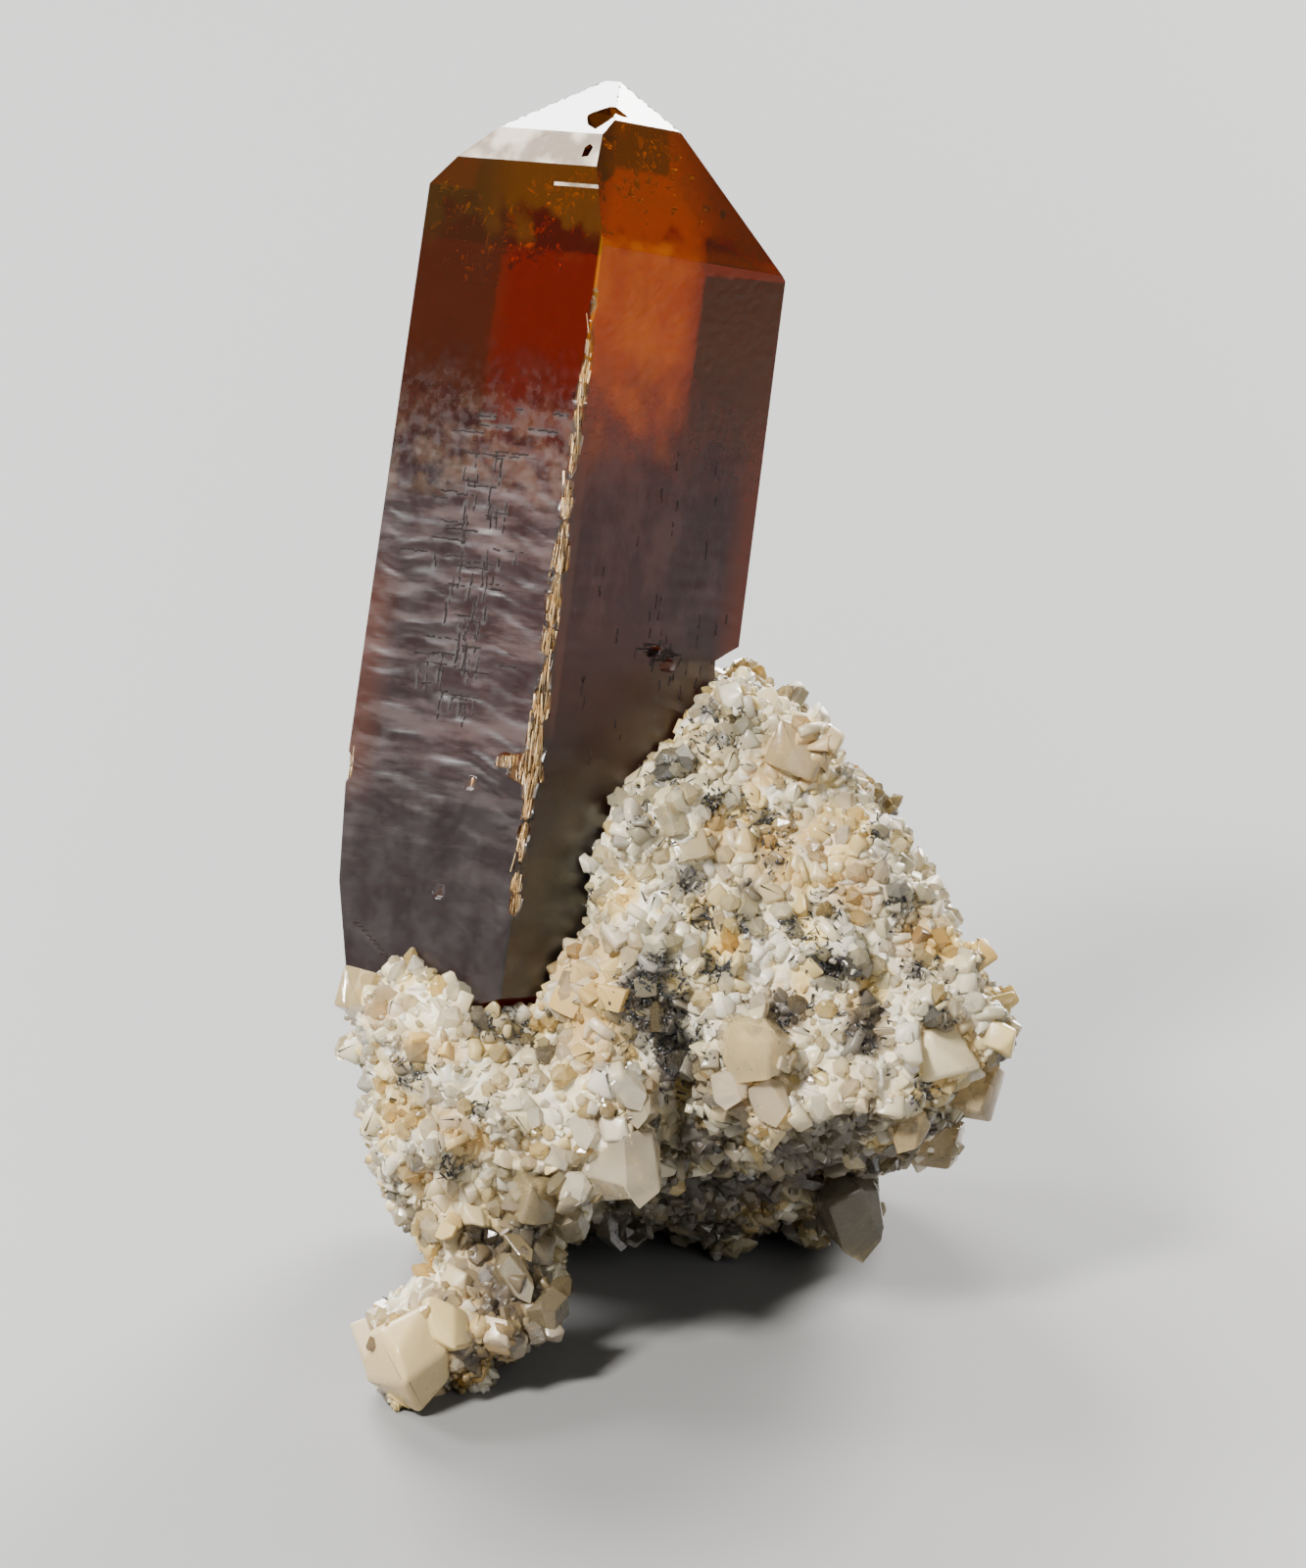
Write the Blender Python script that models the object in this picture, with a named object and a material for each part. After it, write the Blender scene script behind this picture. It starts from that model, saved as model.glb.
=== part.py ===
"""A single amber-brown xenotime crystal that stands in a mass of feldspar grains.

The specimen is worked in millimetres and brought down to metres at the end, and +Z is
up. It was laid out as seen from the front, from a little above the floor, so most
places are given as across, up and away in that view. The function spot turns them
into places in the room.
"""

import math
import random

import bmesh
import bpy
from mathutils import Matrix, Vector, noise

METRES_PER_MILLIMETRE = 0.001

# The view that the specimen was laid out in
VIEW_RISE = math.radians(18.0)
EYE_DISTANCE = 400.0
FLOOR_DROP = 24.51

# The large crystal: a square prism, its lean and its faces
CRYSTAL_TURN = math.radians(44.67)
CRYSTAL_LEAN_BACK = math.radians(-1.03)
CRYSTAL_LEAN_RIGHT = math.radians(7.27)
CRYSTAL_SPOT = (-4.22, 10.0, 0.0)
HALF_WIDTH = 6.03
HALF_DEPTH = 6.13
LEFT_TAPER = math.radians(0.62)
CRYSTAL_TOP = 26.0
CRYSTAL_FOOT = -21.0
SOCKET_GAP = 0.3
CRYSTAL_COLOR = (0.42, 0.15, 0.05)
CRYSTAL_IOR = 1.75

# Slope of each end face from the level, and where it meets the crystal's axis
FRONT_LEFT_SLOPE = (math.radians(40.51), 24.37)
FRONT_RIGHT_SLOPE = (math.radians(40.62), 24.19)
BACK_RIGHT_SLOPE = (math.radians(43.93), 20.42)
BACK_LEFT_SLOPE = (math.radians(39.45), 21.74)
STEEP_LEFT_SLOPE = (math.radians(69.07), 33.78)
STEEP_RIGHT_SLOPE = (math.radians(73.02), 34.49)

# The two slanting planes of the broken lower end, by the way they face
LOWER_BREAKS = (Vector((0.30, 0.10, -0.95)), Vector((-0.28, 0.12, -0.95)))

# The left edge is broken inward near the lower end: a place on each break plane, in
# the crystal's own axes, and the way it faces
LEFT_EDGE_BREAKS = (
    (Vector((-6.14, -6.24, -10.5)), Vector((-0.706, -0.706, -0.064))),
    (Vector((-5.94, -6.05, -15.4)), Vector((-0.690, -0.690, -0.210))),
)

# The row of chips down the front edge, from the top one down
EDGE_CHIPS = 26
EDGE_CHIP_TOP = 12.5
EDGE_CHIP_STEP = 1.12
EDGE_CHIP_SIZES = (0.45, 0.85)
EDGE_CHIP_LENGTH = 1.5
CHIP_ROUGHNESS = (0.72, 1.15)

# The skin of the matrix before its crystals are set on
SKIN_VOXEL = 0.6
SKIN_TRIANGLES = 3560
SWELL = 0.9
SWELLS_PER_MILLIMETRE = 0.22
GRAIN_ACROSS = 2.9
GRAIN_RELIEF = 1.5
GRAIN_FLAT = 0.4
SKIN_SINK = 0.4

# The flat front and the sloping underside of the right-hand mass: a place on each
# plane and the way it faces, both in the view
FRONT_PLANE = ((4.0, -7.0, -7.9), (0.30, 0.16, -1.0))
UNDERSIDE_PLANE = ((4.0, -15.4, -7.5), (0.06, -1.0, -0.37))

# How far the front outline is drawn toward the eye and away from it
OUTLINE_NEAR = -24.0
OUTLINE_FAR = 40.0

# The crystals set on the skin
SCATTERED_CRYSTALS = 120
SCATTERED_WIDTHS = (0.8, 1.7)
SCATTERED_SLENDERNESS = (1.0, 1.5)
SCATTERED_WOBBLE = 0.45
SCATTERED_RISE = 0.04
POINTED_SHARE = 0.25
POINT_SLOPE = math.radians(50)
POINT_HEIGHT = 0.47
POINT_STAGGER = 0.05
BLOCK_CUT = 0.36
BLOCK_DEPTHS = (0.7, 1.1)

# A crystal that would leave the body open is moved by the nudge and tried again
TRIES = 4
NUDGE = Vector((0.06, -0.05, 0.04))
MERGE_WITHIN = 0.0001

# Everything below the floor is cut off by a slab of this size
FLOOR_SLAB = Vector((200.0, 200.0, 40.0))
STONE_COLOR = (0.72, 0.66, 0.55)


def clear_scene():
    for thing in list(bpy.data.objects):
        bpy.data.objects.remove(thing, do_unlink=True)


def spot(across, up, away):
    """A place in the room from its place in the view."""
    spread = (EYE_DISTANCE + away) / EYE_DISTANCE
    x = across * spread
    rise = up * spread
    y = rise * math.sin(VIEW_RISE) + away * math.cos(VIEW_RISE)
    z = rise * math.cos(VIEW_RISE) - away * math.sin(VIEW_RISE) + FLOOR_DROP
    return Vector((x, y, z))


def view_turn():
    return Matrix.Rotation(-VIEW_RISE, 4, "X")


def crystal_frame():
    """The large crystal's own axes: X front right, Y back right, Z along its length."""
    turn = Matrix.Rotation(-CRYSTAL_TURN, 4, "Z")
    back = Matrix.Rotation(-CRYSTAL_LEAN_BACK, 4, "X")
    right = Matrix.Rotation(CRYSTAL_LEAN_RIGHT, 4, "Y")
    place = Matrix.Translation(spot(*CRYSTAL_SPOT))
    return place @ view_turn() @ right @ back @ turn


def new_object(name, bm):
    bmesh.ops.recalc_face_normals(bm, faces=bm.faces)
    mesh = bpy.data.meshes.new(name)
    bm.to_mesh(mesh)
    bm.free()
    thing = bpy.data.objects.new(name, mesh)
    bpy.context.scene.collection.objects.link(thing)
    return thing


def principled(name, color, roughness, transmission=0.0, ior=1.5):
    material = bpy.data.materials.new(name)
    material.use_nodes = True
    shader = material.node_tree.nodes["Principled BSDF"]
    shader.inputs["Base Color"].default_value = (*color, 1.0)
    shader.inputs["Roughness"].default_value = roughness
    shader.inputs["Transmission Weight"].default_value = transmission
    shader.inputs["IOR"].default_value = ior
    return material


def slice_off(bm, point, normal):
    """Cuts away what lies beyond a plane and closes the cut."""
    every = bm.verts[:] + bm.edges[:] + bm.faces[:]
    cut = bmesh.ops.bisect_plane(
        bm, geom=every, plane_co=point, plane_no=normal, clear_outer=True
    )
    rim = [item for item in cut["geom_cut"] if isinstance(item, bmesh.types.BMEdge)]
    if rim:
        bmesh.ops.contextual_create(bm, geom=rim)


def prism_with_faces(grown):
    """The ideal crystal in its own axes, each face moved out by grown.

    It is cut from a block of twice its size, one face after the other.
    """
    bm = bmesh.new()
    bmesh.ops.create_cube(bm, size=1.0)
    length = CRYSTAL_TOP - CRYSTAL_FOOT
    middle = (CRYSTAL_TOP + CRYSTAL_FOOT) / 2
    size = (4 * HALF_WIDTH, 4 * HALF_DEPTH, 2 * length)
    bmesh.ops.scale(bm, vec=size, verts=bm.verts)
    bmesh.ops.translate(bm, vec=(0, 0, middle), verts=bm.verts)
    leaning = math.sin(LEFT_TAPER)
    sides = (
        (Vector((1, 0, 0)), HALF_WIDTH),
        (Vector((0, -1, leaning)), HALF_DEPTH),
        (Vector((0, 1, 0)), HALF_DEPTH),
        (Vector((-1, 0, leaning)), HALF_WIDTH),
    )
    for normal, reach in sides:
        point = Vector((normal.x, normal.y, 0)) * reach
        normal = normal.normalized()
        slice_off(bm, point + normal * grown, normal)
    ends = (
        ((0, -1), FRONT_LEFT_SLOPE),
        ((1, 0), FRONT_RIGHT_SLOPE),
        ((0, 1), BACK_RIGHT_SLOPE),
        ((-1, 0), BACK_LEFT_SLOPE),
        ((0, -1), STEEP_LEFT_SLOPE),
        ((1, 0), STEEP_RIGHT_SLOPE),
    )
    for side, (slope, height) in ends:
        out = math.sin(slope)
        normal = Vector((side[0] * out, side[1] * out, math.cos(slope)))
        slice_off(bm, Vector((0, 0, height)) + normal * grown, normal)
    low = Vector((0, 0, CRYSTAL_FOOT - grown))
    for way in LOWER_BREAKS:
        slice_off(bm, low, way.normalized())
    for place, way in LEFT_EDGE_BREAKS:
        way = way.normalized()
        slice_off(bm, place + way * grown, way)
    return bm


def chip(rng, centre, reach, flat=1.0):
    """A small rough lump with flat faces, for chips broken out of an edge."""
    bm = bmesh.new()
    bmesh.ops.create_icosphere(bm, subdivisions=1, radius=reach)
    for vert in bm.verts:
        vert.co *= rng.uniform(*CHIP_ROUGHNESS)
    bmesh.ops.scale(bm, vec=(1.0, 1.0, flat), verts=bm.verts)
    tilt = Matrix.Rotation(rng.uniform(0, math.tau), 4, "Z")
    bmesh.ops.transform(bm, matrix=tilt, verts=bm.verts)
    bmesh.ops.translate(bm, vec=Vector(centre), verts=bm.verts)
    return bm


def joined(name, pieces):
    """One object of several shapes that may overlap."""
    whole = bmesh.new()
    for piece in pieces:
        mesh = bpy.data.meshes.new("piece")
        bmesh.ops.recalc_face_normals(piece, faces=piece.faces)
        piece.to_mesh(mesh)
        piece.free()
        whole.from_mesh(mesh)
        bpy.data.meshes.remove(mesh)
    mesh = bpy.data.meshes.new(name)
    whole.to_mesh(mesh)
    whole.free()
    thing = bpy.data.objects.new(name, mesh)
    bpy.context.scene.collection.objects.link(thing)
    return thing


def apply_modifiers(thing):
    """Replaces the object's mesh by what its modifiers make of it."""
    bpy.context.view_layer.update()
    graph = bpy.context.evaluated_depsgraph_get()
    made = bpy.data.meshes.new_from_object(thing.evaluated_get(graph))
    thing.modifiers.clear()
    thing.data = made


def combine(thing, other, operation):
    step = thing.modifiers.new(operation.lower(), "BOOLEAN")
    step.operation = operation
    step.solver = "EXACT"
    step.use_self = True
    step.object = other
    apply_modifiers(thing)
    bpy.data.objects.remove(other, do_unlink=True)


def is_closed(mesh):
    bm = bmesh.new()
    bm.from_mesh(mesh)
    closed = all(len(edge.link_faces) == 2 for edge in bm.edges)
    bm.free()
    return closed


def grow_on(thing, pieces):
    """Fuses small crystals to the body one at a time, so that it stays closed."""
    grown = 0
    for piece in pieces:
        shape = new_object("small_crystal", piece)
        for _ in range(TRIES):
            before = thing.data.copy()
            step = thing.modifiers.new("grow", "BOOLEAN")
            step.operation = "UNION"
            step.solver = "EXACT"
            step.object = shape
            apply_modifiers(thing)
            if is_closed(thing.data):
                grown += 1
                break
            thing.data = before
            shape.data.transform(Matrix.Translation(NUDGE))
        bpy.data.objects.remove(shape, do_unlink=True)
    print(grown, "of", len(pieces), "small crystals grown on")


def keep_largest(thing):
    """Drops crumbs that the cuts have left loose."""
    bm = bmesh.new()
    bm.from_mesh(thing.data)
    bmesh.ops.remove_doubles(bm, verts=bm.verts, dist=MERGE_WITHIN)
    bmesh.ops.dissolve_degenerate(bm, edges=bm.edges, dist=MERGE_WITHIN)
    left = set(bm.verts)
    islands = []
    while left:
        start = left.pop()
        island = {start}
        waiting = [start]
        while waiting:
            vert = waiting.pop()
            for edge in vert.link_edges:
                far = edge.other_vert(vert)
                if far not in island:
                    island.add(far)
                    waiting.append(far)
        left -= island
        islands.append(island)
    islands.sort(key=len)
    for island in islands[:-1]:
        bmesh.ops.delete(bm, geom=list(island), context="VERTS")
    bmesh.ops.triangulate(bm, faces=bm.faces)
    bmesh.ops.recalc_face_normals(bm, faces=bm.faces)
    bm.to_mesh(thing.data)
    bm.free()


def crystal_chips(rng):
    """Everything that has broken off the large crystal, in its own axes."""
    chips = []
    # The front edge, where the golden broken band is
    for step in range(EDGE_CHIPS):
        height = EDGE_CHIP_TOP - step * EDGE_CHIP_STEP + rng.uniform(-0.3, 0.3)
        reach = rng.uniform(*EDGE_CHIP_SIZES)
        side = HALF_WIDTH + rng.uniform(-0.12, 0.18)
        fore = -HALF_DEPTH - rng.uniform(0.0, 0.25)
        chips.append(chip(rng, (side, fore, height), reach, EDGE_CHIP_LENGTH))
    # The broken notch where the steep faces meet under the summit
    chips.append(chip(rng, (3.3, -4.1, 20.3), 1.1, 1.1))
    chips.append(chip(rng, (3.9, -5.0, 18.6), 0.9, 1.4))
    # The broken ledge low on the front edge
    chips.append(chip(rng, (5.6, -6.4, -9.3), 1.5, 0.7))
    chips.append(chip(rng, (4.2, -6.7, -9.1), 1.1, 0.6))
    # Pits on the left face and a ragged hollow on the right face
    chips.append(chip(rng, (2.2, -6.55, -10.3), 0.65))
    chips.append(chip(rng, (1.1, -6.6, -15.4), 0.6))
    chips.append(chip(rng, (6.3, 0.7, -3.3), 0.75, 0.6))
    chips.append(chip(rng, (6.35, 1.7, -3.8), 0.75, 0.7))
    # The curved break at the lower right corner
    chips.append(chip(rng, (6.2, 6.3, -4.4), 2.0, 1.1))
    # Splinters lost from the left edge near the lower end
    chips.append(chip(rng, (-6.3, -6.4, -10.4), 0.7, 1.6))
    chips.append(chip(rng, (-6.2, -6.5, -15.0), 0.6, 1.4))
    return joined("crystal_chips", chips)


def build_crystal():
    crystal = new_object("xenotime_crystal", prism_with_faces(0.0))
    combine(crystal, crystal_chips(random.Random(7)), "DIFFERENCE")
    crystal.data.transform(crystal_frame())
    keep_largest(crystal)
    amber = principled("amber_xenotime", CRYSTAL_COLOR, 0.12, 1.0, CRYSTAL_IOR)
    crystal.data.materials.clear()
    crystal.data.materials.append(amber)
    return crystal


def lump(across, up, away, half_across, half_up, half_away):
    """A rounded mass at a place in the view, by half its size each way."""
    bm = bmesh.new()
    bmesh.ops.create_icosphere(bm, subdivisions=3, radius=1.0)
    size = (half_across, half_away, half_up)
    bmesh.ops.scale(bm, vec=size, verts=bm.verts)
    bmesh.ops.transform(bm, matrix=view_turn(), verts=bm.verts)
    bmesh.ops.translate(bm, vec=spot(across, up, away), verts=bm.verts)
    return bm


def toward(across, up, away):
    """A direction in the room from one in the view."""
    return (view_turn() @ Vector((across, away, up))).normalized()


def trimmed(bm):
    """Gives a lump of the right-hand mass its flat front and its sloping underside."""
    for place, way in (FRONT_PLANE, UNDERSIDE_PLANE):
        slice_off(bm, spot(*place), toward(*way))
    return bm


def outline_block():
    """The matrix as it is seen from the front, drawn out along the line of sight."""
    outline = (
        (-14.0, -4.0), (-2.0, 1.4), (2.6, 4.7), (4.2, 5.3), (5.7, 4.2), (6.9, 3.2),
        (8.1, 1.1), (9.8, 0.0), (10.7, -1.9), (11.7, -4.1), (13.3, -5.3),
        (14.1, -7.3), (15.1, -9.6), (16.2, -10.7), (16.6, -11.6), (15.4, -12.6),
        (15.0, -14.0), (14.0, -15.2), (13.8, -16.8), (10.4, -17.2), (9.4, -20.4),
        (8.5, -21.1), (7.3, -20.0), (5.0, -21.0), (3.3, -21.4), (0.4, -20.5),
        (-1.4, -21.5), (-4.4, -21.0), (-4.4, -23.0), (-4.0, -24.6), (-5.3, -26.0),
        (-8.3, -27.3), (-9.9, -27.9), (-11.7, -29.4), (-13.0, -28.2), (-13.4, -26.2),
        (-12.2, -24.1), (-10.6, -22.7), (-10.4, -21.4), (-11.6, -19.3),
        (-13.0, -16.6), (-13.3, -14.5), (-12.9, -12.9), (-13.3, -12.3),
        (-14.0, -10.0),
    )
    bm = bmesh.new()
    near = [bm.verts.new(spot(across, up, OUTLINE_NEAR)) for across, up in outline]
    far = [bm.verts.new(spot(across, up, OUTLINE_FAR)) for across, up in outline]
    bm.faces.new(near)
    bm.faces.new(list(reversed(far)))
    for number in range(len(outline)):
        after = (number + 1) % len(outline)
        bm.faces.new((near[number], far[number], far[after], near[after]))
    return new_object("front_outline", bm)


def build_skin():
    """The main lumps of the matrix run together into one rough skin."""
    lumps = (
        # The right-hand mass with its flat front
        trimmed(lump(5.2, 0.2, 1.5, 5.6, 6.8, 7.5)),
        trimmed(lump(3.6, -6.5, -1.2, 8.2, 7.6, 9.6)),
        trimmed(lump(2.0, -4.6, -3.0, 5.1, 6.6, 6.1)),
        trimmed(lump(10.0, -7.6, 2.6, 8.0, 8.6, 10.5)),
        trimmed(lump(14.2, -11.6, 3.0, 4.6, 5.2, 7.4)),
        trimmed(lump(6.8, -12.0, 1.6, 8.8, 7.4, 10.5)),
        trimmed(lump(2.8, -11.6, -1.0, 5.6, 6.0, 8.6)),
        # Under the large crystal, and the left-hand block
        lump(-1.6, -9.8, -4.4, 4.2, 4.2, 4.6),
        lump(-2.9, -14.2, -3.6, 4.3, 5.0, 5.2),
        lump(-5.6, -15.6, -4.0, 4.8, 4.6, 4.8),
        lump(-8.6, -14.2, -1.2, 6.4, 7.2, 7.2),
        lump(-9.6, -12.0, -2.4, 5.2, 4.6, 6.2),
        # The neck and the foot at the lower left
        lump(-7.8, -21.0, -2.6, 4.0, 4.2, 4.6),
        lump(-8.6, -25.2, -5.2, 4.8, 3.4, 3.9),
        lump(-11.6, -26.8, -6.8, 2.4, 3.2, 2.8),
        # The back and the parts of the underside that stand on the floor
        lump(0.6, -5.6, 10.0, 7.0, 6.6, 6.4),
        lump(8.6, -5.4, 9.4, 6.4, 7.0, 7.0),
        lump(0.0, -14.2, 14.4, 6.0, 6.3, 5.4),
        lump(3.2, -14.3, 9.0, 9.2, 7.9, 8.2),
        lump(-6.5, -14.6, 10.5, 6.2, 7.6, 6.2),
        lump(6.2, -12.6, 14.6, 6.6, 8.2, 6.2),
        lump(-3.0, -8.5, 6.5, 8.6, 9.0, 7.2),
    )
    skin = joined("feldspar_matrix", lumps)
    combine(skin, joined("valley", [
        lump(1.0, -11.4, -9.6, 0.9, 4.4, 3.2),
        lump(1.2, -16.0, -8.2, 1.2, 2.6, 5.0),
    ]), "DIFFERENCE")
    combine(skin, outline_block(), "INTERSECT")
    remesh = skin.modifiers.new("one_skin", "REMESH")
    remesh.mode = "VOXEL"
    remesh.voxel_size = SKIN_VOXEL
    apply_modifiers(skin)
    for vert, normal in [(v, v.normal.copy()) for v in skin.data.vertices]:
        swell = noise.noise(vert.co * SWELLS_PER_MILLIMETRE) * SWELL
        nearest = noise.voronoi(vert.co / GRAIN_ACROSS)[0]
        grain = min(nearest[1] - nearest[0], GRAIN_FLAT) * GRAIN_RELIEF
        vert.co += normal * (swell + grain - SKIN_SINK)
    skin.data.calc_loop_triangles()
    thin = skin.modifiers.new("fewer_faces", "DECIMATE")
    thin.ratio = min(1.0, SKIN_TRIANGLES / len(skin.data.loop_triangles))
    apply_modifiers(skin)
    return skin


def block_crystal(rng, centre, normal, width, height, pointed):
    """A feldspar block with bevelled ends, or a quartz prism with a point."""
    bm = bmesh.new()
    if pointed:
        bmesh.ops.create_cone(
            bm, cap_ends=True, segments=6, radius1=width / 2,
            radius2=width / 2, depth=height,
        )
    else:
        bmesh.ops.create_cube(bm, size=1.0)
        deep = width * rng.uniform(*BLOCK_DEPTHS)
        bmesh.ops.scale(bm, vec=(width, deep, height), verts=bm.verts)
    if pointed:
        out = math.sin(POINT_SLOPE)
        for number in range(3):
            way = number * math.tau / 3 + math.pi / 7
            tip = Vector((math.cos(way) * out, math.sin(way) * out,
                          math.cos(POINT_SLOPE)))
            cut = height * (POINT_HEIGHT - POINT_STAGGER * number)
            slice_off(bm, Vector((0, 0, cut)), tip)
    else:
        lean = Vector((rng.uniform(0.35, 0.9), rng.uniform(-0.2, 0.2), 1)).normalized()
        slice_off(bm, Vector((0, 0, height * BLOCK_CUT)), lean)
    twist = Matrix.Rotation(rng.uniform(0, math.tau), 4, "Z")
    aim = normal.to_track_quat("Z", "Y").to_matrix().to_4x4()
    bmesh.ops.transform(bm, matrix=aim @ twist, verts=bm.verts)
    bmesh.ops.translate(bm, vec=centre, verts=bm.verts)
    return bm


def placed_crystals(rng):
    """Larger crystals that can be told apart, each at its own place in the view."""
    places = (
        # across, up, away, width, height, pointed
        (6.9, 1.5, -4.6, 2.3, 3.0, False),
        (-1.6, -17.5, -7.4, 3.2, 3.6, False),
        (-1.4, -14.4, -8.4, 2.0, 2.6, False),
        (3.7, -14.1, -8.2, 2.2, 3.2, True),
        (5.2, -14.7, -8.0, 2.3, 3.0, False),
        (4.7, -12.2, -8.6, 2.8, 2.2, False),
        (-5.4, -19.0, -7.0, 1.9, 2.6, False),
        (-3.6, -18.7, -7.2, 1.8, 2.4, False),
        (-3.9, -20.0, -5.4, 1.8, 2.4, True),
        (9.0, -19.2, 4.6, 3.0, 4.2, True),
        (12.4, -16.0, 0.0, 2.3, 3.0, False),
        (14.3, -14.0, -0.4, 1.7, 2.4, False),
        (12.9, -12.6, -3.8, 2.8, 2.8, False),
        (15.2, -11.6, -0.6, 1.7, 2.2, False),
        (-12.9, -10.2, -3.8, 1.5, 2.2, False),
        (-12.2, -15.1, -4.0, 1.4, 2.2, False),
        (-11.3, -26.4, -8.2, 3.0, 3.0, False),
        (-9.8, -25.2, -8.6, 1.8, 2.4, False),
        (-6.6, -22.8, -6.8, 1.7, 2.4, True),
        (-5.3, -24.3, -6.6, 1.7, 2.2, False),
    )
    made = []
    for across, up, away, width, height, pointed in places:
        outward = Vector((across * 0.05 + rng.uniform(-0.3, 0.3), -1.0,
                          0.1 + rng.uniform(-0.4, 0.4))).normalized()
        made.append(block_crystal(
            rng, spot(across, up, away), outward, width, height, pointed))
    return made


def scattered_crystals(rng, skin):
    """Smaller crystals drawn evenly over the skin, leaning out of it."""
    faces = list(skin.data.polygons)
    weights = [face.area for face in faces]
    made = []
    for face in rng.choices(faces, weights=weights, k=SCATTERED_CRYSTALS):
        normal = face.normal.copy()
        wobble = Vector([
            rng.uniform(-SCATTERED_WOBBLE, SCATTERED_WOBBLE) for _ in range(3)])
        width = rng.uniform(*SCATTERED_WIDTHS)
        height = width * rng.uniform(*SCATTERED_SLENDERNESS)
        pointed = rng.random() < POINTED_SHARE
        centre = face.center + normal * height * SCATTERED_RISE
        made.append(block_crystal(
            rng, centre, (normal + wobble).normalized(), width, height, pointed))
    return made


def floor_slab():
    """A slab with its top at floor level."""
    under = bmesh.new()
    bmesh.ops.create_cube(under, size=1.0)
    bmesh.ops.scale(under, vec=FLOOR_SLAB, verts=under.verts)
    bmesh.ops.translate(under, vec=(0, 0, -FLOOR_SLAB.z / 2), verts=under.verts)
    return new_object("floor_level", under)


def build_matrix():
    """The matrix: its skin, the crystals on it, the socket and the floor pads."""
    rng = random.Random(24)
    skin = build_skin()
    crystals = placed_crystals(rng) + scattered_crystals(rng, skin)
    grow_on(skin, crystals)
    socket = new_object("socket", prism_with_faces(SOCKET_GAP))
    socket.data.transform(crystal_frame())
    combine(skin, socket, "DIFFERENCE")
    combine(skin, floor_slab(), "DIFFERENCE")
    keep_largest(skin)
    stone = principled("feldspar_grains", STONE_COLOR, 0.55)
    skin.data.materials.clear()
    skin.data.materials.append(stone)
    return skin


def centre_on_floor(things):
    """Puts the middle of the whole specimen over the origin, its pads on the floor."""
    corners = [v.co for thing in things for v in thing.data.vertices]
    low = Vector([min(c[axis] for c in corners) for axis in range(3)])
    high = Vector([max(c[axis] for c in corners) for axis in range(3)])
    shift = Vector(((low.x + high.x) / 2, (low.y + high.y) / 2, low.z))
    smaller = Matrix.Scale(METRES_PER_MILLIMETRE, 4)
    for thing in things:
        thing.data.transform(smaller @ Matrix.Translation(-shift))


clear_scene()
crystal_body = build_crystal()
matrix_body = build_matrix()
centre_on_floor((crystal_body, matrix_body))
bpy.context.view_layer.update()
for body in (crystal_body, matrix_body):
    size = [round(side / METRES_PER_MILLIMETRE, 1) for side in body.dimensions]
    print(body.name, size, "mm")
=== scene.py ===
# %% [markdown]
# # A xenotime crystal on feldspar
# One large amber-brown crystal leans out of a rough mass of feldspar and quartz
# grains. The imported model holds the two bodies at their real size, with their faces,
# chips and lumps. This lesson gives them the fine surface and the finish of the real
# specimen: a crystal that is clear at the top and etched lower down, and a crust of
# thousands of small grains, with black needles in its hollows.

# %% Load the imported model
import math

import bpy
import numpy as np
from mathutils import Euler, Matrix, Vector, noise
from mathutils.bvhtree import BVHTree


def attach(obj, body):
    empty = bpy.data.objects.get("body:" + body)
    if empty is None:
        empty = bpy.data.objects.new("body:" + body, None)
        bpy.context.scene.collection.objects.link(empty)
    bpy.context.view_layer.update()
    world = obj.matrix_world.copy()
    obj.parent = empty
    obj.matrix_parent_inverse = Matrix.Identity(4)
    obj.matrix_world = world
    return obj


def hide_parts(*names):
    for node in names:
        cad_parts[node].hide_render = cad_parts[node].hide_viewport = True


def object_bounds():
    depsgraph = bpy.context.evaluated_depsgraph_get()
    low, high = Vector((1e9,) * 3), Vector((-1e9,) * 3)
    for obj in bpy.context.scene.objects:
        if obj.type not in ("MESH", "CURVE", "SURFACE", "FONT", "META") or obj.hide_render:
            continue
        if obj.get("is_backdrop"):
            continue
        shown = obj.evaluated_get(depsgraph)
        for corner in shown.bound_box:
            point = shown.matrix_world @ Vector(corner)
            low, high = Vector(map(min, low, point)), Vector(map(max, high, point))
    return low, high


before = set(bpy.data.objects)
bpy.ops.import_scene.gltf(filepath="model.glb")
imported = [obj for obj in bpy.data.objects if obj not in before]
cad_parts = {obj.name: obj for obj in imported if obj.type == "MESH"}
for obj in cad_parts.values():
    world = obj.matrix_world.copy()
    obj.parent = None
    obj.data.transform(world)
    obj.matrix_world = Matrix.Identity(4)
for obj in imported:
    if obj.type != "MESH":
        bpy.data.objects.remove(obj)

MM = 0.001
cad_low, cad_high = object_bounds()
cad_size = [round((high - low) / MM, 1) for low, high in zip(cad_low, cad_high)]
print("the packed model measures", cad_size, "mm")

# %% [markdown]
# ## Where things are
# The large crystal has its own axes: X out of its front right face, Y out of its back
# right face and Z along its length. Its turn is known, and its origin is worked out
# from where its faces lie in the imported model, so nothing has to be fitted by eye. The
# view that the specimen was laid out in hangs on the same origin, and gives places on
# the matrix as across, up and away in millimetres.

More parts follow.
